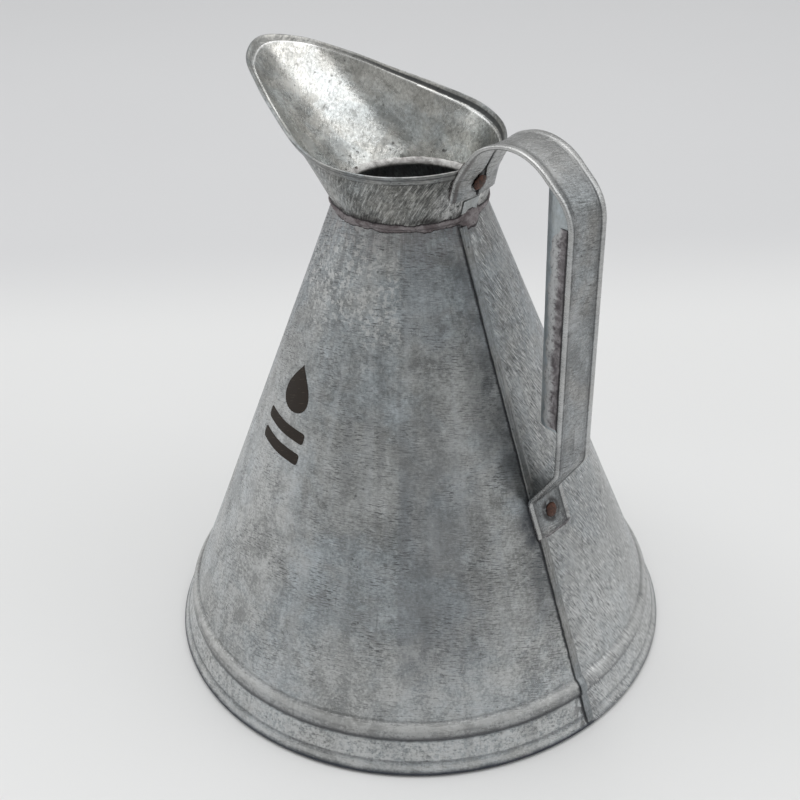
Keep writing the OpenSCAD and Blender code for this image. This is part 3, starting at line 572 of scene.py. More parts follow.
def neck_solder_mat():
    k = Nodes("solder_neck_finish")
    P = k.vec(k.obj)
    a = k.noise(P, 0.20, 6, 0.7, 0.6)
    b = k.noise(P, 0.8, 5, 0.65)
    q = k.add(k.split(k.vec(k.uv()))[1], k.mul(k.sub(b, 0.5), 1.2))
    col = k.mix(k.step(a, 0.36, 0.64), (0.13, 0.107, 0.11), (0.31, 0.285, 0.29))
    edge = k.mx(k.step(q, 1.15, 0.55), k.step(q, 4.95, 5.45))
    col = k.mix(k.mul(edge, 0.88), col, (0.028, 0.024, 0.026))
    pits = k.mul(k.step(k.voro(P, 0.5, "F1", "Distance"), 0.24, 0.08), k.step(a, 0.46, 0.58))
    col = k.mix(k.mul(pits, 0.85), col, (0.03, 0.026, 0.028))
    col = k.mix(k.mul(k.step(b, 0.60, 0.72), 0.5), col, (0.52, 0.50, 0.50))
    h = k.sub(k.add(a, k.mul(b, 0.3)), k.mul(edge, 0.3))
    return k.done(col, k.add(k.mul(a, 0.35), 0.34), 0.7, k.bump(h, 0.8, 0.5))


M["solder"] = solder_mat("solder_finish")
M["solder_neck"] = neck_solder_mat()
def mouth_mat():
    k = Nodes("solder_bright_finish")
    P = k.vec(k.obj)
    a = k.noise(P, 0.16, 6, 0.7, 0.6)
    b = k.noise(P, 0.7, 5, 0.65)
    col = k.mix(k.step(a, 0.34, 0.62), (0.24, 0.225, 0.22), (0.60, 0.595, 0.58))
    spots = k.mul(k.step(k.voro(P, 0.22, "F1", "Distance"), 0.36, 0.20), k.step(a, 0.45, 0.53))
    col = k.mix(k.mul(spots, 0.9), col, (0.045, 0.035, 0.03))
    col = k.mix(k.mul(k.step(b, 0.54, 0.68), 0.45), col, (0.10, 0.09, 0.085))
    h = k.sub(k.add(a, k.mul(b, 0.3)), k.mul(spots, 0.7))
    return k.done(col, k.add(k.mul(a, 0.35), 0.28), 0.75, k.bump(h, 0.7, 0.5))


M["solder_white"] = mouth_mat()
def grip_solder_mat():
    k = Nodes("solder_grip_finish")
    P = k.vec(k.obj)
    a = k.noise(P, 0.20, 6, 0.7, 0.6)
    b = k.noise(P, 0.8, 5, 0.65)
    u = k.add(k.split(k.vec(k.uv()))[0], k.mul(k.sub(a, 0.5), 9.0))
    col = k.mix(k.step(a, 0.36, 0.62), (0.11, 0.097, 0.103), (0.33, 0.31, 0.32))
    col = k.mix(k.mul(k.step(u, 3.4, 6.4), 0.90), col, (0.55, 0.56, 0.565))
    col = k.mix(k.mul(k.step(b, 0.52, 0.66), 0.6), col, (0.08, 0.073, 0.08))
    line = k.mul(k.step(k.split(k.vec(k.uv()))[0], 1.5, 0.6), 0.85)
    col = k.mix(line, col, (0.035, 0.032, 0.035))
    h = k.add(a, k.mul(b, 0.4))
    return k.done(col, k.add(k.mul(b, 0.35), 0.28), 0.75, k.bump(h, 0.8, 0.4))


M["solder_dark"] = grip_solder_mat()
M["solder_tab"] = solder_mat("solder_tab_finish", light=(0.30, 0.28, 0.29), dark=(0.05, 0.045, 0.05), white=0.4)


def rust_mat():
    k = Nodes("rivet_finish")
    P = k.vec(k.obj)
    a = k.noise(P, 0.55, 6, 0.7, 0.5)
    b = k.noise(P, 2.2, 4, 0.6)
    col = k.mix(k.step(a, 0.36, 0.64), (0.030, 0.017, 0.013), (0.125, 0.050, 0.032))
    col = k.mix(k.mul(k.step(b, 0.55, 0.72), 0.5), col, (0.20, 0.085, 0.05))
    r = k.add(k.mul(a, 0.3), 0.45)
    return k.done(col, r, 0.25, k.bump(k.add(a, k.mul(b, 0.4)), 0.6, 0.25))


def wire_mat():
    k = Nodes("steel_wire_finish")
    P = k.vec(k.obj)
    a = k.noise(P, 0.4, 5, 0.65)
    b = k.noise(k.vec(k.obj, (0.2, 0.2, 2.5)), 1.0, 3)
    col = k.mix(a, (0.18, 0.18, 0.185), (0.34, 0.34, 0.345))
    col = k.mix(k.mul(k.step(b, 0.55, 0.7), 0.6), col, (0.10, 0.075, 0.06))
    return k.done(col, k.add(k.mul(a, 0.25), 0.32), 0.85, k.bump(k.add(a, b), 0.3, 0.08))


def ink_mat():
    k = Nodes("printed_mark_finish")
    P = k.vec(k.obj)
    a = k.noise(P, 0.5, 5, 0.7)
    b = k.noise(k.vec(k.uv(), (0.12, 2.0, 1), 25), 1.0, 3)
    col = k.mix(a, (0.008, 0.004, 0.002), (0.022, 0.013, 0.007))
    col = k.mix(k.mul(k.step(b, 0.60, 0.72), 0.5), col, (0.13, 0.105, 0.075))
    return k.done(col, k.add(k.mul(a, 0.2), 0.70), 0.0, k.bump(a, 0.3, 0.05))


M["rivet"], M["wire"], M["ink"] = rust_mat(), wire_mat(), ink_mat()

# ---------------------------------------------------------------- body
bead_u = np.linspace(-1, 1, 25)


def bump_r(z):
    u = (z - BEAD_Z) / (BEAD_W / 2)
    return BEAD_H * max(0.0, 1 - u * u) ** 0.7 if abs(u) < 1 else 0.0


def cone_r(z):
    return RB - SLOPE * z


def wob(az, z):
    """How far the rolled sheet is off a true cone, in mm: soft flats along the generators, slight dents. Never outwards near the foot."""
    s = min(1.0, max(0.0, (z - 26) / 40)) * min(1.0, max(0.0, (NECK_Z - 4 - z) / 40))
    a = math.radians(az)
    w = 0.55 * nz(math.cos(a) * 2.6, math.sin(a) * 2.6, z * 0.0035, 2)
    w += 0.22 * nz(math.cos(a) * 1.7 + 5, math.sin(a) * 1.7, z * 0.02, 3)
    # a bending flat whose edge runs down the generator near -51 degrees
    d = (az + 51 + 180) % 360 - 180
    if abs(d) < 40:
        w -= 0.016 * cone_r(z) * math.radians(abs(d)) * (math.exp(-(d / 16) ** 2)) * 1.6
    e = (az - SEAM_AZ + 180) % 360 - 180
    w -= 0.25 * math.exp(-(e / 9) ** 2)
    return w * s - 0.12 * s


def body_point(az, z, off=0.0):
    a = math.radians(az)
    r = cone_r(z) + bump_r(z) + wob(az, z) + off
    return (r * math.cos(a), r * math.sin(a), z)


def flat_uv(az, z, r):
    """Place of a point in the cut-out sheet before it was rolled. az runs from the seam down to the seam again."""
    rho = math.hypot(r, APEX - z) if z < APEX else r
    t = math.radians(az + 62.0) * math.sin(ANG)
    return (rho * math.sin(t), -rho * math.cos(t))


def chaikin(pts, n=1):
    for _ in range(n):
        q = [pts[0]]
        for a, b in zip(pts[:-1], pts[1:]):
            q += [(a[0] * 0.75 + b[0] * 0.25, a[1] * 0.75 + b[1] * 0.25), (a[0] * 0.25 + b[0] * 0.75, a[1] * 0.25 + b[1] * 0.75)]
        pts = q + [pts[-1]]
    return pts


def build_body():
    zs = list(np.linspace(NECK_Z, BEAD_Z + BEAD_W / 2 + 1.0, 84))
    out = [(cone_r(z), z, 1) for z in zs]
    out += [(cone_r(z) + bump_r(z), z, 0) for z in (BEAD_Z + u * BEAD_W / 2 for u in bead_u[::-1])]
    hem = [(cone_r(13), 13), (cone_r(HEM_H - 0.9), HEM_H - 0.9), (cone_r(HEM_H - 1.7) - 0.28, HEM_H - 1.7),
           (cone_r(HEM_H - 2.6) + 0.1, HEM_H - 2.6), (cone_r(3.2) + 0.34, 3.2), (RB + 0.2, 1.9), (RB + 0.12, 1.2), (RB - 0.25, 0.5),
           (RB - 0.9, 0.08), (RB - 1.3, 0.0)]
    hem = chaikin(hem, 2)
    out += [(r, z, 0) for r, z in hem]
    inner = [(RB - 1.6, 0.0), (RB - 3.4, 0.0), (RB - 4.4, 0.3), (RB - 5.0, 1.1), (RB - 5.1, 2.3), (RB - 4.8, 3.3),
             (cone_r(4.4) - 2 * TH - 0.1, 4.4), (cone_r(HEM_H - 0.4) - 2 * TH - 0.1, HEM_H - 0.4),
             (cone_r(HEM_H - 0.4) - TH - 0.1, HEM_H - 0.4)]
    out += [(r, z, 0) for r, z in chaikin(inner, 1)]
    wc = (RB - 3.05, 2.15)
    out += [(wc[0] + 1.45 * math.cos(math.radians(a)), wc[1] + 1.45 * math.sin(math.radians(a)), 0) for a in range(50, 366, 15)]
    out += [(cone_r(z) + bump_r(z) - TH, z, 0) for z in (BEAD_Z + u * BEAD_W / 2 for u in bead_u)]
    out += [(cone_r(z) - TH, z, 1) for z in zs[::-1][::3] + [NECK_Z]]
    # azimuths, one degree apart, starting at the seam
    azs = [SEAM_AZ - 360 * i / 360 for i in range(0, 360)]
    P, uv = [], []
    for az in azs:
        row = []
        a = math.radians(az)
        for r, z, w in out:
            rr = r + (wob(az, z) if w else 0)
            row.append((rr * math.cos(a), rr * math.sin(a), z))
        P.append(row)
    for az in azs + [SEAM_AZ - 360]:
        row = [flat_uv(az, z, r) for r, z, w in out]
        uv.append(row + [row[0]])
    return grid_piece("body_sheet", P, ci=True, cj=True, uv=np.array(uv), mat=M["body"],
                      replaces=("body_shell",), slot="galvanised_body", sharp=50)


build_body()


def build_seam():
    """Folded lock seam: an open edge with a shadow gap on one side, a soft edge that runs out on the other."""
    sec = [(-2.1, -0.25), (-2.1, 0.30), (-2.02, 0.66), (-1.8, 0.84), (-1.4, 0.88), (-0.6, 0.86), (0.2, 0.88), (0.9, 0.85),
           (1.4, 0.70), (1.75, 0.46), (2.0, 0.26), (2.1, 0.02), (2.1, -0.25)]
    zs = list(np.linspace(NECK_Z - 2.8, 25, 92)) + list(np.linspace(24.4, 15.6, 22)) + list(np.linspace(15, 4.2, 14)) + [3.4, 2.8, 2.2, 1.7, 1.3]
    P, uv = [], []
    for z in zs:
        row, ru = [], []
        jog = 0.45 * nz(z * 0.05, 3.1) + 0.35 * nz(z * 0.22, 7.7)
        if z < 30:
            jog += 0.8 * smooth(22, 14, z) - 0.3
        foot = 1.0 - 0.45 * float(smooth(5.0, 1.5, z))
        for s, h in sec:
            sh = s + jog * (0.5 if s > 0 else 1.0) * 0.5
            r0 = cone_r(z) + bump_r(z) * 1.0
            az = SEAM_AZ + math.degrees(sh / r0)
            lump = 0.06 * nz(s * 0.6, z * 0.12, 9.0)
            hh = h * foot + (lump if h > 0.2 else 0)
            if z < 4:
                hh = min(hh, RB + 0.2 + 0.0 - cone_r(z) + 0.5)
            rr = r0 + hh + (wob(az, z) if z > 26 else 0)
            a = math.radians(az)
            row.append((rr * math.cos(a), rr * math.sin(a), z))
            ru.append((s, z))
        P.append(row)
        ru.append((2.6, z))
        uv.append(ru)
    return grid_piece("lock_seam", P, cj=True, uv=np.array(uv), caps=True, mat=M["seam"], replaces=("side_seam",),
                      slot="galvanised_seam", sharp=40)


build_seam()

# ---------------------------------------------------------------- spout
RIM_HALF = [(-1, 0, 1, 180), (-0.9, 0.36, 0.89, 146), (-0.69, 0.6, 0.68, 120), (-0.465, 0.79, 0.43, 111),
            (-0.235, 0.955, 0.21, 101), (0, 1, 0.07, 82), (0.22, 0.82, 0, 55), (0.39, 0.45, -0.01, 30), (0.46, 0, 0, 0)]
PER = 14


def rim_pt(i):
    if i < 0:
        p = RIM_HALF[-i]
        return np.array([p[0], -p[1], p[2], 360 - p[3]], float)
    if i > 8:
        p = RIM_HALF[16 - i]
        return np.array([p[0], -p[1], p[2], -p[3]], float)
    return np.array(RIM_HALF[i], float)


def catmull(a, b, c, d, t):
    return 0.5 * (2 * b + (c - a) * t + (2 * a - 5 * b + 4 * c - d) * t * t + (3 * b - a - 3 * c + d) * t ** 3)


half = [catmull(rim_pt(i - 1), rim_pt(i), rim_pt(i + 1), rim_pt(i + 2), k / PER) for i in range(8) for k in range(PER)] + [rim_pt(8)]
rim_all = half + [np.array([p[0], -p[1], p[2], -p[3]]) for p in half[-2:0:-1]]
NR = len(rim_all)
R_C = np.array([[p[0] * LIP_REACH, p[1] * RIM_HALF_W, RIM_Z + p[2] * LIP_RISE] for p in rim_all])
PHI = np.array([math.radians(p[3]) for p in rim_all])
F_C = np.stack([COLLAR_R * np.cos(PHI), COLLAR_R * np.sin(PHI), np.full(NR, COLLAR_Z1)], 1)
tang = np.roll(R_C, -1, 0) - np.roll(R_C, 1, 0)
W_N = np.cross(R_C - F_C, tang)
W_N /= np.linalg.norm(W_N, axis=1)[:, None]
FULL_T = SPOUT_T + RIM_STEP + HEM_T
W_TOP = R_C - FULL_T * W_N
W_E = W_TOP - F_C
W_L = np.linalg.norm(W_E, axis=1)
W_E /= W_L[:, None]
ARC = np.concatenate([[0], np.cumsum(np.linalg.norm(np.roll(R_C, -1, 0) - R_C, axis=1))])


def s_wob(i, d):
    """Unevenness of the spout sheet along its normal, in mm."""
    p = W_TOP[i] - W_E[i] * d
    depth = float(smooth(0, 14, d) * smooth(0, 10, W_L[i] - d))
    q = p * 0.02
    return (0.35 * nz(q[0] * 1.1, q[1] * 1.1, q[2] * 1.1 + 4, 2) + 0.10 * nz(q[0] * 5, q[1] * 5, q[2] * 5, 2)) * depth - 0.03 * depth


def wall(i, d, off):
    i %= NR
    rimw = 0.10 * nz(ARC[i] * 0.05, 1.3, 0.0, 2) * float(smooth(8, 0, d))
    return W_TOP[i] - W_E[i] * d + W_N[i] * (off + s_wob(i, d) - abs(rimw) * 0.6)


def build_spout():
    P, uv = [], []
    for i in range(NR):
        L = W_L[i]
        cs, sn = math.cos(PHI[i]), math.sin(PHI[i])
        row, ru = [], []
        row.append((COLLAR_R * cs, COLLAR_R * sn, COLLAR_Z0)); ru.append(-L - 1.3)
        for s in np.linspace(0, 1, 26)[:-1]:
            d = L + (RIM_HEM + 1.1 - L) * s
            row.append(wall(i, d, 0)); ru.append(-d)
        for d, o in ((RIM_HEM + 1.0, 0.02), (RIM_HEM + 0.8, 0.14), (RIM_HEM + 0.55, 0.36), (RIM_HEM + 0.3, 0.6), (RIM_HEM + 0.1, 0.74),
                     (RIM_HEM - 0.15, RIM_STEP), (2.0, RIM_STEP), (1.0, RIM_STEP), (0.2, RIM_STEP), (0.0, RIM_STEP + 0.05)):
            row.append(wall(i, d, o)); ru.append(-d)
        for d, o in ((0.0, RIM_STEP + SPOUT_T - 0.05), (0.3, RIM_STEP + SPOUT_T), (RIM_HEM - 0.3, RIM_STEP + SPOUT_T), (RIM_HEM, RIM_STEP + SPOUT_T - 0.04),
                     (RIM_HEM + 0.3, RIM_STEP + 0.4), (RIM_HEM + 0.7, RIM_STEP - 0.05), (RIM_HEM + 1.0, SPOUT_T + 0.02)):
            row.append(wall(i, d, o)); ru.append(-d)
        for s in np.linspace(1, 0, 26)[1:]:
            d = L + (RIM_HEM + 1.1 - L) * s
            row.append(wall(i, d, SPOUT_T)); ru.append(-d)
        row.append(((COLLAR_R + SPOUT_T) * cs, (COLLAR_R + SPOUT_T) * sn, COLLAR_Z1 - 0.2)); ru.append(-L)
        row.append(((COLLAR_R + SPOUT_T) * cs, (COLLAR_R + SPOUT_T) * sn, COLLAR_Z0)); ru.append(-L - 1.3)
        P.append(row)
        uv.append([(ARC[i] * (0.45 + 0.55 * (1 + u / max(L, 1))) if False else ARC[i] * 0.62, u) for u in ru + [ru[0]]])
    last = [(ARC[NR] * 0.62, u[1]) for u in uv[0]]
    uv.append(last)
    return grid_piece("spout_sheet", P, ci=True, cj=True, uv=np.array(uv), mat=M["spout"], mat2=M["spout_out"], cols2=(36, len(ru) + 1),
                      replaces=("spout_funnel",), slot="galvanised_spout", sharp=40)


build_spout()


def build_rim():
    o = RIM_STEP + SPOUT_T
    sec = [(RIM_HEM - 0.2, o + 0.04), (1.6, o + 0.04), (0.1, o + 0.03), (0.04, RIM_STEP + 0.02), (-0.18, RIM_STEP + 0.04), (-0.38, RIM_STEP + 0.16),
           (-0.52, RIM_STEP + 0.36), (-0.58, RIM_STEP + 0.62), (-0.52, RIM_STEP + 0.88), (-0.36, o + 0.45), (-0.12, o + 0.58),
           (0.2, o + 0.64), (0.7, o + 0.62), (1.3, o + 0.53), (2.0, o + 0.52), (RIM_HEM - 0.55, o + 0.58), (RIM_HEM - 0.3, o + 0.56), (RIM_HEM - 0.2, o + 0.44)]
    P, uv = [], []
    for i in range(NR):
        j = 0.12 * nz(ARC[i] * 0.09, 5.5, 0.0, 3)
        P.append([wall(i, d + (j if d > 1 else 0.25 * j), oo) for d, oo in sec])
        uv.append([(ARC[i], -d * 1.0) for d, oo in sec] + [(ARC[i], -sec[0][0])])
    uv.append([(ARC[NR], u[1]) for u in uv[0]])
    return grid_piece("spout_rim", P, ci=True, cj=True, uv=np.array(uv), mat=M["rim"], replaces=("spout_rim_hem",),
                      slot="galvanised_spout", sharp=50)


def rim_extra(k, P, flat, col, r, met, nrm, mott, fine):
    d = k.split(flat)[1]
    n1 = k.noise(P, 0.4, 4, 0.65)
    dd = k.add(d, k.mul(k.sub(n1, 0.5), 0.5))
    # painted shade: dark lines just below the fold and along the lower edge of the hem
    line = k.mul(k.step(dd, -1.25, -0.85), k.step(dd, -0.15, -0.55))
    low = k.step(dd, -2.55, -2.95)
    col = k.mix(k.mul(line, 0.62), col, (0.05, 0.05, 0.055))
    col = k.mix(k.mul(low, 0.55), col, (0.05, 0.05, 0.055))
    return col, r, met, nrm


M["rim"] = galvanised("galvanised_rim_finish", tone=(0.30, 0.305, 0.305), var=0.30, rough=0.33, metal=0.9,
                      dash=0.9, dash_rot=2, dash_size=(0.15, 1.2), dash_cut=(0.52, 0.64), scratch=0.8, scratch_rot=4, spangle=0.02, extra=rim_extra)
build_rim()


# ---------------------------------------------------------------- solder at the neck
def build_neck_outer():
    P, uv = [], []
    n = 540
    for i in range(n):
        az = 360 * i / n
        a = math.radians(az)
        c, s = math.cos(a), math.sin(a)
        t = 0.9 * nz(c * 5, s * 5, 1.0, 4)
        b = 1.0 * nz(c * 4.5, s * 4.5, 6.0, 4)
        d = (az - 3 + 180) % 360 - 180
        drop = 5.2 * math.exp(-(d / 9.0) ** 4)
        zt = 226.5 + 0.9 * t + 0.55 * drop
        zb = 222.0 + 1.2 * b - drop * 0.75
        row = []
        for q in np.linspace(0, 1, 15):
            z = zt + (zb - zt) * q
            if z > COLLAR_Z1:
                ii = int(np.argmin(np.abs((PHI - a + math.pi) % (2 * math.pi) - math.pi)))
                base = None
                e = W_E[ii]
                k = (z - COLLAR_Z1) / e[2]
                px = F_C[ii] + e * k + W_N[ii] * SPOUT_T
                base = math.hypot(px[0], px[1])
            elif z > NECK_Z + 0.4:
                base = COLLAR_R + SPOUT_T
            else:
                base = cone_r(z)
                base = max(base, COLLAR_R + SPOUT_T - (NECK_Z + 0.4 - z) * 0.9)
            h = math.sin(math.pi * min(1, max(0, q))) ** 0.55 * (0.62 + 0.34 * nz(c * 11, s * 11, z * 0.30, 3) + 0.06 * drop)
            rr = base - 0.10 + h
            row.append((rr * c, rr * s, z))
        uv.append([(az * 0.6, 6 * q) for q in np.linspace(0, 1, 15)] + [(az * 0.6, 3)] * 6)
        for z in (zb + 0.2, 223.0, COLLAR_Z0 - 0.1, COLLAR_Z0 + 0.4, min(zt, 226.5) - 0.2):
            base = cone_r(z) if z < NECK_Z else COLLAR_R + SPOUT_T - 0.3
            row.append(((min(base, COLLAR_R + 0.3) - 0.3) * c if z > 222.9 else (cone_r(z) - 0.3) * c,
                        (min(base, COLLAR_R + 0.3) - 0.3) * s if z > 222.9 else (cone_r(z) - 0.3) * s, z))
        P.append(row)
    uv.append([(216, v[1]) for v in uv[0]])
    return grid_piece("neck_solder_band", P, ci=True, cj=True, uv=np.array(uv), mat=M["solder_neck"], replaces=("neck_solder_outer",), slot="solder", sharp=180)


build_neck_outer()


def build_neck_inner():
    P = []
    n = 480
    for i in range(n):
        a = 2 * math.pi * i / n
        c, s = math.cos(a), math.sin(a)
        l1 = 0.35 * nz(c * 9, s * 9, 2.0, 4)
        l2 = 0.35 * nz(c * 6, s * 6, 8.0, 4)
        sec = [(RN - 0.05, 224.04), (RN - TH, 224.04), (RN - TH - 0.35 + 0.3 * l1, 224.3), (RN - TH - 0.5 + 0.4 * l1, 224.8), (RN - TH - 0.25 + 0.3 * l1, 225.5 + 0.3 * l2),
               (31.9 + 0.3 * l2, 226.2 + 0.5 * l1), (32.35, 226.75 + 0.7 * l2), (32.85, 227.2 + 0.8 * l2), (33.05, 227.3 + 0.9 * l2), (33.02, 225.6)]
        P.append([(r * c, r * s, z) for r, z in sec])
    return grid_piece("mouth_solder", P, ci=True, cj=True, mat=M["solder_white"], replaces=("neck_solder_inner",), slot="solder", sharp=180)


build_neck_inner()

# ---------------------------------------------------------------- handle
ROUTE = [(37.1, 235.5, 0), (39.5, 244.4, 8), (48.1, 259.9, 16), (67.9, 271.3, 25), (94.2, 247.5, 20), (92.4, 127.3, 8), (79.2, 106.6, 4), (85.55, 90.3, 0)]


def route_path(step=0.9):
    pts = [np.array(r[:2], float) for r in ROUTE]
    out = [pts[0]]
    for i in range(1, 7):
        din = pts[i] - pts[i - 1]; din /= np.linalg.norm(din)
        dout = pts[i + 1] - pts[i]; dout /= np.linalg.norm(dout)
        turn = math.atan2(din[0] * dout[1] - din[1] * dout[0], din @ dout)
        r = ROUTE[i][2]
        tl = r * math.tan(abs(turn) / 2)
        s = pts[i] - din * tl
        sg = 1 if turn > 0 else -1
        c = s + sg * r * np.array([-din[1], din[0]])
        v = s - c
        last = out[-1]
        n = max(1, int(np.linalg.norm(s - last) / (step * 1.6)))
        out += [last + (s - last) * k / n for k in range(1, n + 1)]
        n = max(4, int(abs(turn) * r / step), int(abs(turn) / math.radians(6)))
        for k in range(1, n + 1):
            t = turn * k / n
            out.append(c + np.array([v[0] * math.cos(t) - v[1] * math.sin(t), v[0] * math.sin(t) + v[1] * math.cos(t)]))
    last = out[-1]
    n = int(np.linalg.norm(pts[7] - last) / step)
    out += [last + (pts[7] - last) * k / n for k in range(1, n + 1)]
    return np.array(out)


PATH = route_path()
NP = len(PATH)
SA = np.concatenate([[0], np.cumsum(np.linalg.norm(np.diff(PATH, axis=0), axis=1))])
TG = np.gradient(PATH, SA, axis=0)
TG /= np.linalg.norm(TG, axis=1)[:, None]
NM = np.stack([-TG[:, 1], TG[:, 0]], 1)
STOT = SA[-1]


def dish(i):
    a = np.linalg.norm(PATH[i] - PATH[0]); b = np.linalg.norm(PATH[i] - PATH[-1])
    return 1.6 if a < 15 else 1.6 * (34 - a) / 19 if a < 34 else -0.7 if b < 15 else -0.7 * (30 - b) / 15 if b < 30 else 0.0


def widen(i):
    a = np.linalg.norm(PATH[i] - PATH[0])
    return 1.2 if a < 14 else 1 + 0.2 * (32 - a) / 18 if a < 32 else 1.0


def strap_pt(i, y, o):
    oo = o + dish(i) * (y / HW) ** 2
    return (PATH[i][0] + NM[i][0] * oo, y * widen(i), PATH[i][1] + NM[i][1] * oo)


TOP_RIVET_S, LOW_RIVET_S = 6.6, 9.6


def strap_section(i):
    """Half section from the middle of the outer face round the edge to the middle of the inner face, for y > 0."""
    s = SA[i]
    # width of the opening between the two hems: a crack, wider round the upper rivet, drop-shaped
    t = (s - TOP_RIVET_S)
    g = 0.30
    if -4.2 < t < 9.5:
        g = max(g, 3.7 * math.sqrt(max(0, 1 - (t / 4.2) ** 2)) if t < 0 else 3.7 * max(0, (1 - t / 9.5)) ** 0.9)
    out = [(0.0, HT - 0.25), (3.0, HT - 0.25), (6.5, HT - 0.25), (7.45, HT - 0.25), (7.7, HT - 0.20), (7.9, HT - 0.07), (8.1, HT - 0.005), (9.2, HT), (9.9, HT)]
    cy, rr = 10.35, 0.65
    edge = [(cy + rr * math.sin(math.radians(a)), (HT - rr) + rr * math.cos(math.radians(a))) for a in (15, 35, 55, 75, 90)]
    edge += [(cy + rr * math.sin(math.radians(a)), -(HT - rr) + rr * math.cos(math.radians(a))) for a in (90, 105, 125, 145, 165)]
    g2 = min(g, 5.0)
    inn = [(9.9, -HT), (9.0, -HT), (max(6.0, g2 + 1.2), -HT), (max(3.0, g2 + 0.7), -HT), (g2 + 0.28, -HT), (g2 + 0.08, -HT + 0.08), (g2, -HT + 0.28),
           (g2 - 0.02, -HT + 0.8), (0.0, -HT + 0.8)]
    return out + edge + inn


def build_strap():
    P, uv = [], []
    for i in range(NP):
        h = strap_section(i)
        e = 0.10 * nz(SA[i] * 0.06, 2.2, 0, 3)
        e2 = 0.10 * nz(SA[i] * 0.06, 8.2, 0, 3)
        right = [strap_pt(i, y + (e if y > 5 else 0) * -0.5 - 0.04 * (y > 5), o) for y, o in h]
        left = [strap_pt(i, -(y + (e2 if y > 5 else 0) * -0.5 - 0.04 * (y > 5)), o) for y, o in h]
        row = right + left[::-1][1:-1]
        P.append(row)
        acc = [0.0]
        for (a, b), (c, d) in zip(h[:-1], h[1:]):
            acc.append(acc[-1] + math.hypot(c - a, d - b))
        full = acc + [2 * acc[-1] - q for q in acc[::-1][1:-1]]
        uv.append([(q, SA[i]) for q in full] + [(2 * acc[-1], SA[i])])
    return grid_piece("handle_strap_sheet", P, cj=True, uv=np.array(uv), caps=True, mat=M["strap"], replaces=("handle_strap",),
                      slot="galvanised_strap", sharp=42)


build_strap()

GRIP_X, GRIP_R, GRIP_Z0 = 94.15, 9.7, 149.0
LEAN = math.atan2(ROUTE[4][0] - ROUTE[5][0], ROUTE[4][1] - ROUTE[5][1])


def strap_back(z):
    """x of the strap's inner face on its straight run."""
    return GRIP_X + (z - 238) * math.tan(LEAN) - HT / math.cos(LEAN) - 0.06


inner_arch = PATH - NM * (HT + 0.1)


def z_under_arch(x):
    k = [i for i in range(NP) if PATH[i][1] > 236 and PATH[i][0] > 64]
    xs, zs = inner_arch[k][:, 0], inner_arch[k][:, 1]
    o = np.argsort(xs)
    return float(np.interp(x, xs[o], zs[o]))


def build_liner():
    cx = GRIP_X - 15 - 1.5 + GRIP_R
    prof = []
    for q in np.linspace(0, 1, 9)[:-1]:
        prof.append(("leg", 1, 1 - q))
    for a in np.linspace(90, 270, 41):
        prof.append(("arc", a, 0))
    for q in np.linspace(0, 1, 9)[1:]:
        prof.append(("leg", -1, q))
    cols, uvc = [], []
    loop = [(p, 0.0) for p in prof] + [(p, 0.6) for p in prof[::-1]]
    nzr = 70
    for t in np.linspace(0, 1, nzr):
        row, ru = [], []
        for (kind, a, q), t_in in loop:
            if kind == "arc":
                c, s = math.cos(math.radians(a)), math.sin(math.radians(a))
                x, y = cx + (GRIP_R - t_in) * c, (GRIP_R - t_in) * s
                top = z_under_arch(x)
                drop = 1.5 * float(smooth(-0.75, -1.0, c))
                z = GRIP_Z0 + drop + (top - GRIP_Z0 - drop) * t
                z += 0.25 * nz(a * 0.05, t * 3, 1.1, 2) * (1 - t)
            else:
                y = a * (GRIP_R - t_in)
                x1 = strap_back(238) - 0.02
                x = cx + (x1 - cx) * q
                top = z_under_arch(x)
                z = GRIP_Z0 + (top - GRIP_Z0) * t
                x = cx + (strap_back(min(z, 238)) - cx) * q
            w = 0.12 * nz(y * 0.12, z * 0.03, x * 0.1, 2)
            x += w * (0 if kind == "leg" else 1)
            row.append((x, y, z))
            ru.append((len(ru) * 0.9, z))
        cols.append(row)
        uvc.append(ru + [(len(ru) * 0.9, t * 100 + 149)])
    return grid_piece("grip_channel", cols, cj=True, uv=np.array(uvc), caps=True, mat=M["liner"], replaces=("grip_liner",), slot="galvanised_body", sharp=40)


M["liner"] = galvanised("galvanised_liner_finish", tone=(0.46, 0.49, 0.51), var=0.16, rough=0.36, metal=0.88,
                        dash=0.5, dash_rot=90, scratch=0.5, scratch_rot=84, spangle=0.02, blotch=0.4)
build_liner()


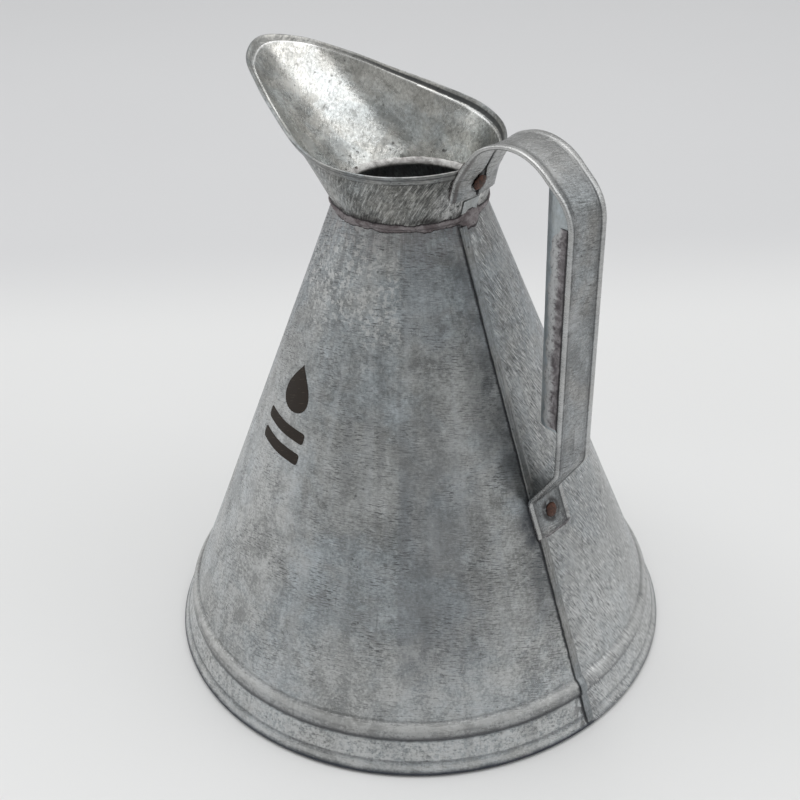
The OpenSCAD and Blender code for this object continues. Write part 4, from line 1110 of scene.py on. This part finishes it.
def build_grip_solder(side, name, node):
    """A smeared run of solder between the strap and the liner, wide and thin."""
    P, uv = [], []
    zs = np.linspace(GRIP_Z0 + 1.2, 241.0, 156)
    for z in zs:
        xb = strap_back(z)
        wv = nz(z * 0.11, side * 3.0, 0.5, 4)
        w = 9.2 + 2.2 * wv + 1.4 * nz(z * 0.4, side, 4.5, 2)
        end = float(smooth(GRIP_Z0 + 0.6, GRIP_Z0 + 4, z) * smooth(241.2, 234, z))
        w = max(2.0, w * (0.55 + 0.45 * end))
        cx = GRIP_X - 15 - 1.5 + GRIP_R

        def shell(dist, h):
            """Point at that distance from the strap, measured along the liner, h mm off it."""
            leg = xb - cx
            if dist <= leg:
                return (xb + 0.08 - dist, side * min(10.95, GRIP_R + h))
            a = (dist - leg) / GRIP_R
            return (cx - (GRIP_R + h) * math.sin(a), side * (GRIP_R + h) * math.cos(a))

        row = []
        for t in np.linspace(0, 1, 22):
            h = (0.16 + 1.1 * max(0.0, 1 - w * t / 4.2) ** 2.2) * (0.78 + 0.50 * nz(z * 0.22, w * t * 0.35, side * 5.0, 3)) * (1 - t ** 8)
            x, y = shell(w * t, max(0.02, h) if t < 0.98 else -0.06)
            row.append((x, y, z))
        x0, y0 = shell(w, -0.25)
        xm, ym = shell(w * 0.5, -0.30)
        row += [(x0, y0, z), (xm, ym, z), (xb + 0.08, side * (GRIP_R - 0.25), z)]
        P.append(row)
        uv.append([(w * t, z) for t in np.linspace(0, 1, 22)] + [(w, z), (w * 0.5, z), (0, z), (0, z)])
    return grid_piece(name, P, cj=True, caps=True, uv=np.array(uv), mat=M["solder_dark"], replaces=(node,), slot="solder", sharp=180)


build_grip_solder(1, "grip_solder_run_left", "grip_solder_left")
build_grip_solder(-1, "grip_solder_run_right", "grip_solder_right")


# ---------------------------------------------------------------- rivets
def rivet_mesh(name, origin, axis, front, back, head_d, seed, groove=0.0):
    """Formed head outside, shank, flat head inside. axis points out."""
    ax = Vector(axis).normalized()
    rot = Vector((0, 0, 1)).rotation_difference(ax).to_matrix()
    o = Vector(origin)
    R = head_d / 2
    prof = [(0.0, front + 1.42), (R * 0.30, front + 1.38), (R * 0.55, front + 1.22), (R * 0.78, front + 0.92), (R * 0.93, front + 0.55), (R, front + 0.22), (R * 0.96, front + 0.06),
            (R * 0.7, front + 0.05), (2.0, front + 0.04), (2.0, 0.0), (2.0, -back), (R * 0.8, -back - 0.02), (R * 0.92, -back - 0.2), (R * 0.9, -back - 0.7), (R * 0.72, -back - 0.88), (0.0, -back - 0.9)]
    n = 56
    P = []
    for i in range(n):
        a = 2 * math.pi * i / n
        row = []
        for j, (r, z) in enumerate(prof):
            k = 1 + (0.06 * nz(math.cos(a) * 1.3 + seed, math.sin(a) * 1.3, z * 0.5, 2) - 0.03) * (1 if r > 2.1 else 0)
            dz = 0.12 * nz(r * math.cos(a) * 0.5 + seed, r * math.sin(a) * 0.5, 3.0, 3) if j < 6 else 0
            v = rot @ Vector((r * k * math.cos(a), r * k * math.sin(a), z + dz - (0.06 if j < 6 else 0))) + o
            row.append(tuple(v))
        P.append(row)
    return P


def tab_axis(p0, p1):
    d = np.array([p1[0] - p0[0], 0, p1[1] - p0[1]]); return d / np.linalg.norm(d)


td = tab_axis(ROUTE[0], ROUTE[1])
up_pt = np.array([ROUTE[0][0], 0, ROUTE[0][1]]) + td * TOP_RIVET_S
up_ax = np.array([td[2], 0, -td[0]])            # away from the spout
ld = tab_axis(ROUTE[6], ROUTE[7])
lo_pt = np.array([ROUTE[7][0], 0, ROUTE[7][1]]) - ld * LOW_RIVET_S
lo_ax = np.array([math.cos(ANG), 0, math.sin(ANG)])
for nm, p, ax, fr, bk, sd in (("rivet_upper", up_pt, up_ax, 0.85, 3.05, 1.0), ("rivet_lower", lo_pt, lo_ax, 0.65, 2.1, 6.0)):
    rp = rivet_mesh(nm, p, ax, fr, bk, 7.3 if sd < 2 else 6.7, sd)
    grid_piece(nm, rp, ci=True, mat=M["rivet"], replaces=("handle_rivets",), slot="rivet", sharp=180)


# ---------------------------------------------------------------- solder under the tabs
def build_upper_pad():
    """Solder between the upper tab and the spout."""
    P = []
    n = 40
    for i in range(0, 26):
        s_i = i
        if SA[s_i] > 20:
            break
        row = []
        for q in np.linspace(-1, 1, 41):
            y = q * (HW - 0.5 + 0.3 * nz(i * 0.2, q * 3, 1, 2))
            g = HT + 0.35 + 0.35 * (1 - abs(q)) * 0.0
            row.append(strap_pt(s_i, y, g + 0.10))
        for q in np.linspace(1, -1, 41):
            y = q * (HW - 0.8)
            lump = 0.15 * nz(q * 5, i * 0.3, 4, 3)
            row.append(strap_pt(s_i, y, HT - 0.02 + min(0.0, lump) * (1 if abs(q) > 0.93 else 0)))
        P.append(row)
    return grid_piece("upper_tab_pad", P, cj=True, caps=True, mat=M["solder"], replaces=("upper_tab_solder",), slot="solder", sharp=180)


build_upper_pad()


def build_lower_pad():
    """Solder squeezed out from under the lower tab, on the far side and at the end."""
    P = []
    idx = [i for i in range(NP) if SA[i] > STOT - 17.0]
    rows = [(i, 0.0) for i in idx] + [(NP - 1, e) for e in (0.5, 1.0, 1.5, 1.9)]
    for n, (i, ext) in enumerate(rows):
        e = float(smooth(0, 5, n))
        fall = 1.0 - float(smooth(0.6, 2.0, ext))
        shift = np.array([TG[i][0], 0, TG[i][1]]) * (ext + (0.8 * nz(n * 0.1, 4.4) if ext else 0))
        row = []
        for q in np.linspace(-1, 1, 41):
            w = HW - 0.4 if q < 0 else HW + (0.5 + 0.9 * nz(n * 0.16, 2.0, 3, 3)) * e
            bit = 1.0 * nz(q * 3.5, 9.0, 0, 3) * (ext > 0)
            y = q * (w - 0.5 * (1 - fall))
            row.append(np.array(strap_pt(i, y, -HT - 0.30)) + shift * (1 + 0.35 * bit))
        for q in np.linspace(1, -1, 41):
            w = HW - 0.4 if q < 0 else HW + (0.3 + 0.9 * nz(n * 0.16, 2.0, 3, 3)) * e
            out = q > 0.94 or ext > 0
            y = q * (w - 0.5 * (1 - fall))
            bit = 1.0 * nz(q * 3.5, 9.0, 0, 3) * (ext > 0)
            h = -HT + 0.02 + ((0.75 + 0.35 * nz(n * 0.3, q * 5, 7, 3)) * fall if out else 0)
            row.append(np.array(strap_pt(i, y, h)) + shift * (1 + 0.35 * bit))
        P.append(row)
    return grid_piece("lower_tab_pad", P, cj=True, caps=True, mat=M["solder_tab"], replaces=("lower_tab_solder",), slot="solder", sharp=180)


build_lower_pad()


# ---------------------------------------------------------------- plain printed mark
def cone_slab(name, outline, az0, z0, tilt=0.0):
    """A thin printed shape on the cone. outline: list of (u, v) mm round the shape, u to the viewer's right, v up the cone."""
    t = math.radians(tilt)
    rings = np.linspace(0, 1, 9)
    cu, cv = np.mean([p[0] for p in outline]), np.mean([p[1] for p in outline])

    def place(u, v, h):
        uu, vv = u * math.cos(t) - v * math.sin(t), u * math.sin(t) + v * math.cos(t)
        z = z0 + vv * math.cos(ANG)
        az = az0 + math.degrees(uu / cone_r(z))
        return body_point(az, z, h)

    P, uv = [], []
    for u, v in outline:
        top = [place(cu + (u - cu) * k, cv + (v - cv) * k, 0.12) for k in rings]
        bot = [place(cu + (u - cu) * k, cv + (v - cv) * k, 0.02) for k in rings[::-1]]
        P.append(top + bot)
        uv.append([(cu + (u - cu) * k, cv + (v - cv) * k) for k in list(rings) + list(rings[::-1])])
    uv.append(uv[0])
    return grid_piece(name, P, ci=True, uv=np.array(uv), mat=M["ink"], slot="galvanised_body", sharp=40)


def drop_outline(h=19.0, w=13.0, n=72):
    pts = []
    for i in range(n):
        a = 2 * math.pi * i / n
        x = w / 2 * math.sin(a) * math.sin(a / 2) ** 1.3 * 1.30
        y = h / 2 * math.cos(a)
        pts.append((x, y))
    return pts


def bar_outline(w, h, n=10):
    pts, r = [], h * 0.28
    for cx, cy, a0 in ((w / 2 - r, h / 2 - r, 0), (-w / 2 + r, h / 2 - r, 90), (-w / 2 + r, -h / 2 + r, 180), (w / 2 - r, -h / 2 + r, 270)):
        for k in range(5):
            a = math.radians(a0 + 22.5 * k)
            pts.append((cx + r * math.cos(a), cy + r * math.sin(a)))
    out = []
    for a, b in zip(pts, pts[1:] + pts[:1]):
        m = max(1, int(math.hypot(b[0] - a[0], b[1] - a[1]) / 1.2))
        out += [(a[0] + (b[0] - a[0]) * k / m, a[1] + (b[1] - a[1]) * k / m) for k in range(m)]
    return out


cone_slab("mark_drop", drop_outline(22.0, 18.0), -100.5, 150.5)
cone_slab("mark_bar_upper", bar_outline(30.0, 5.2), -103.0, 132.0)
cone_slab("mark_bar_lower", bar_outline(30.0, 5.2), -103.0, 122.8)

# ---------------------------------------------------------------- CAD nodes that stay
for node, mat in (("seam_solder", "solder"), ("foot_wire", "wire"), ("base_plate", "base"), ("base_solder", "solder"), ("spout_lap_seam", "base")):
    ob = NODES[node]
    if len(ob.material_slots) == 0:
        ob.data.materials.append(M[mat])
    for sl in ob.material_slots:
        sl.material = M[mat]

# ---------------------------------------------------------------- floor, light, camera
def floor_mat():
    k = Nodes("studio_floor")
    P = k.vec(k.obj)
    # a pale sweep with painted shade: the table is lightest, and it is painted darker behind the object
    x, y, z = k.split(k.obj)[:3]
    d = k.add(k.mul(x, -0.7164), k.mul(y, 0.6978))
    f = k.step(d, 0.26, 0.42)
    n = k.noise(P, 0.004, 3, 0.5)
    near = k.mix(k.step(d, -0.06, 0.16), (0.75, 0.75, 0.75), (0.705, 0.705, 0.705))
    col = k.mix(f, near, (0.60, 0.60, 0.61))
    col = k.mix(k.mul(n, 0.10), col, (0.78, 0.78, 0.79))
    return k.done(col, 0.85, 0.0)


me = bpy.data.meshes.new("floor")
bm = bmesh.new()
bmesh.ops.create_grid(bm, x_segments=24, y_segments=24, size=6.0)
bm.to_mesh(me)
bm.free()
floor = bpy.data.objects.new("floor", me)
floor.location = (0, 0, -0.0002)
me.materials.append(floor_mat())
scene.collection.objects.link(floor)


def area(name, loc, target, size, power, color=(1, 1, 1), size_y=None):
    ld = bpy.data.lights.new(name, "AREA")
    ld.shape = "RECTANGLE"
    ld.size, ld.size_y = size, size_y or size
    ld.energy, ld.color = power, color
    o = bpy.data.objects.new(name, ld)
    o.location = loc
    o.rotation_euler = (Vector(target) - Vector(loc)).to_track_quat("-Z", "Y").to_euler()
    scene.collection.objects.link(o)
    return o


area("top_box", (-0.15, 0.22, 1.9), (-0.15, 0.22, 0.0), 2.2, 26, size_y=2.12)
area("left_box", (-1.5, -0.9, 1.1), (0, 0, 0.12), 1.3, 7)
area("right_box", (1.5, 1.1, 1.2), (0, 0, 0.12), 1.3, 7)

world = bpy.data.worlds.new("studio")
scene.world = world
world.use_nodes = True
wn = world.node_tree
bg = wn.nodes["Background"]
bg.inputs[0].default_value = (0.985, 1.0, 0.995, 1)
bg.inputs[1].default_value = 0.45

cam_data = bpy.data.cameras.new("camera")
cam_data.sensor_width = 36
cam_data.lens = 1340.72 / 800 * 36
cam_data.clip_start, cam_data.clip_end = 0.01, 30
cam = bpy.data.objects.new("camera", cam_data)
right = Vector((0.71039512, 0.7032627, -0.0275745)).normalized()
up = Vector((-0.37100588, 0.4074869, 0.83445135)).normalized()
fwd = Vector((-0.59807476, 0.58255987, -0.5503913)).normalized()
cam.matrix_world = Matrix(((right.x, up.x, -fwd.x, 0.36875539), (right.y, up.y, -fwd.y, -0.36875539), (right.z, up.z, -fwd.z, 0.46402903), (0, 0, 0, 1)))
scene.collection.objects.link(cam)
scene.camera = cam
scene.view_settings.view_transform = "Standard"

bpy.context.view_layer.update()
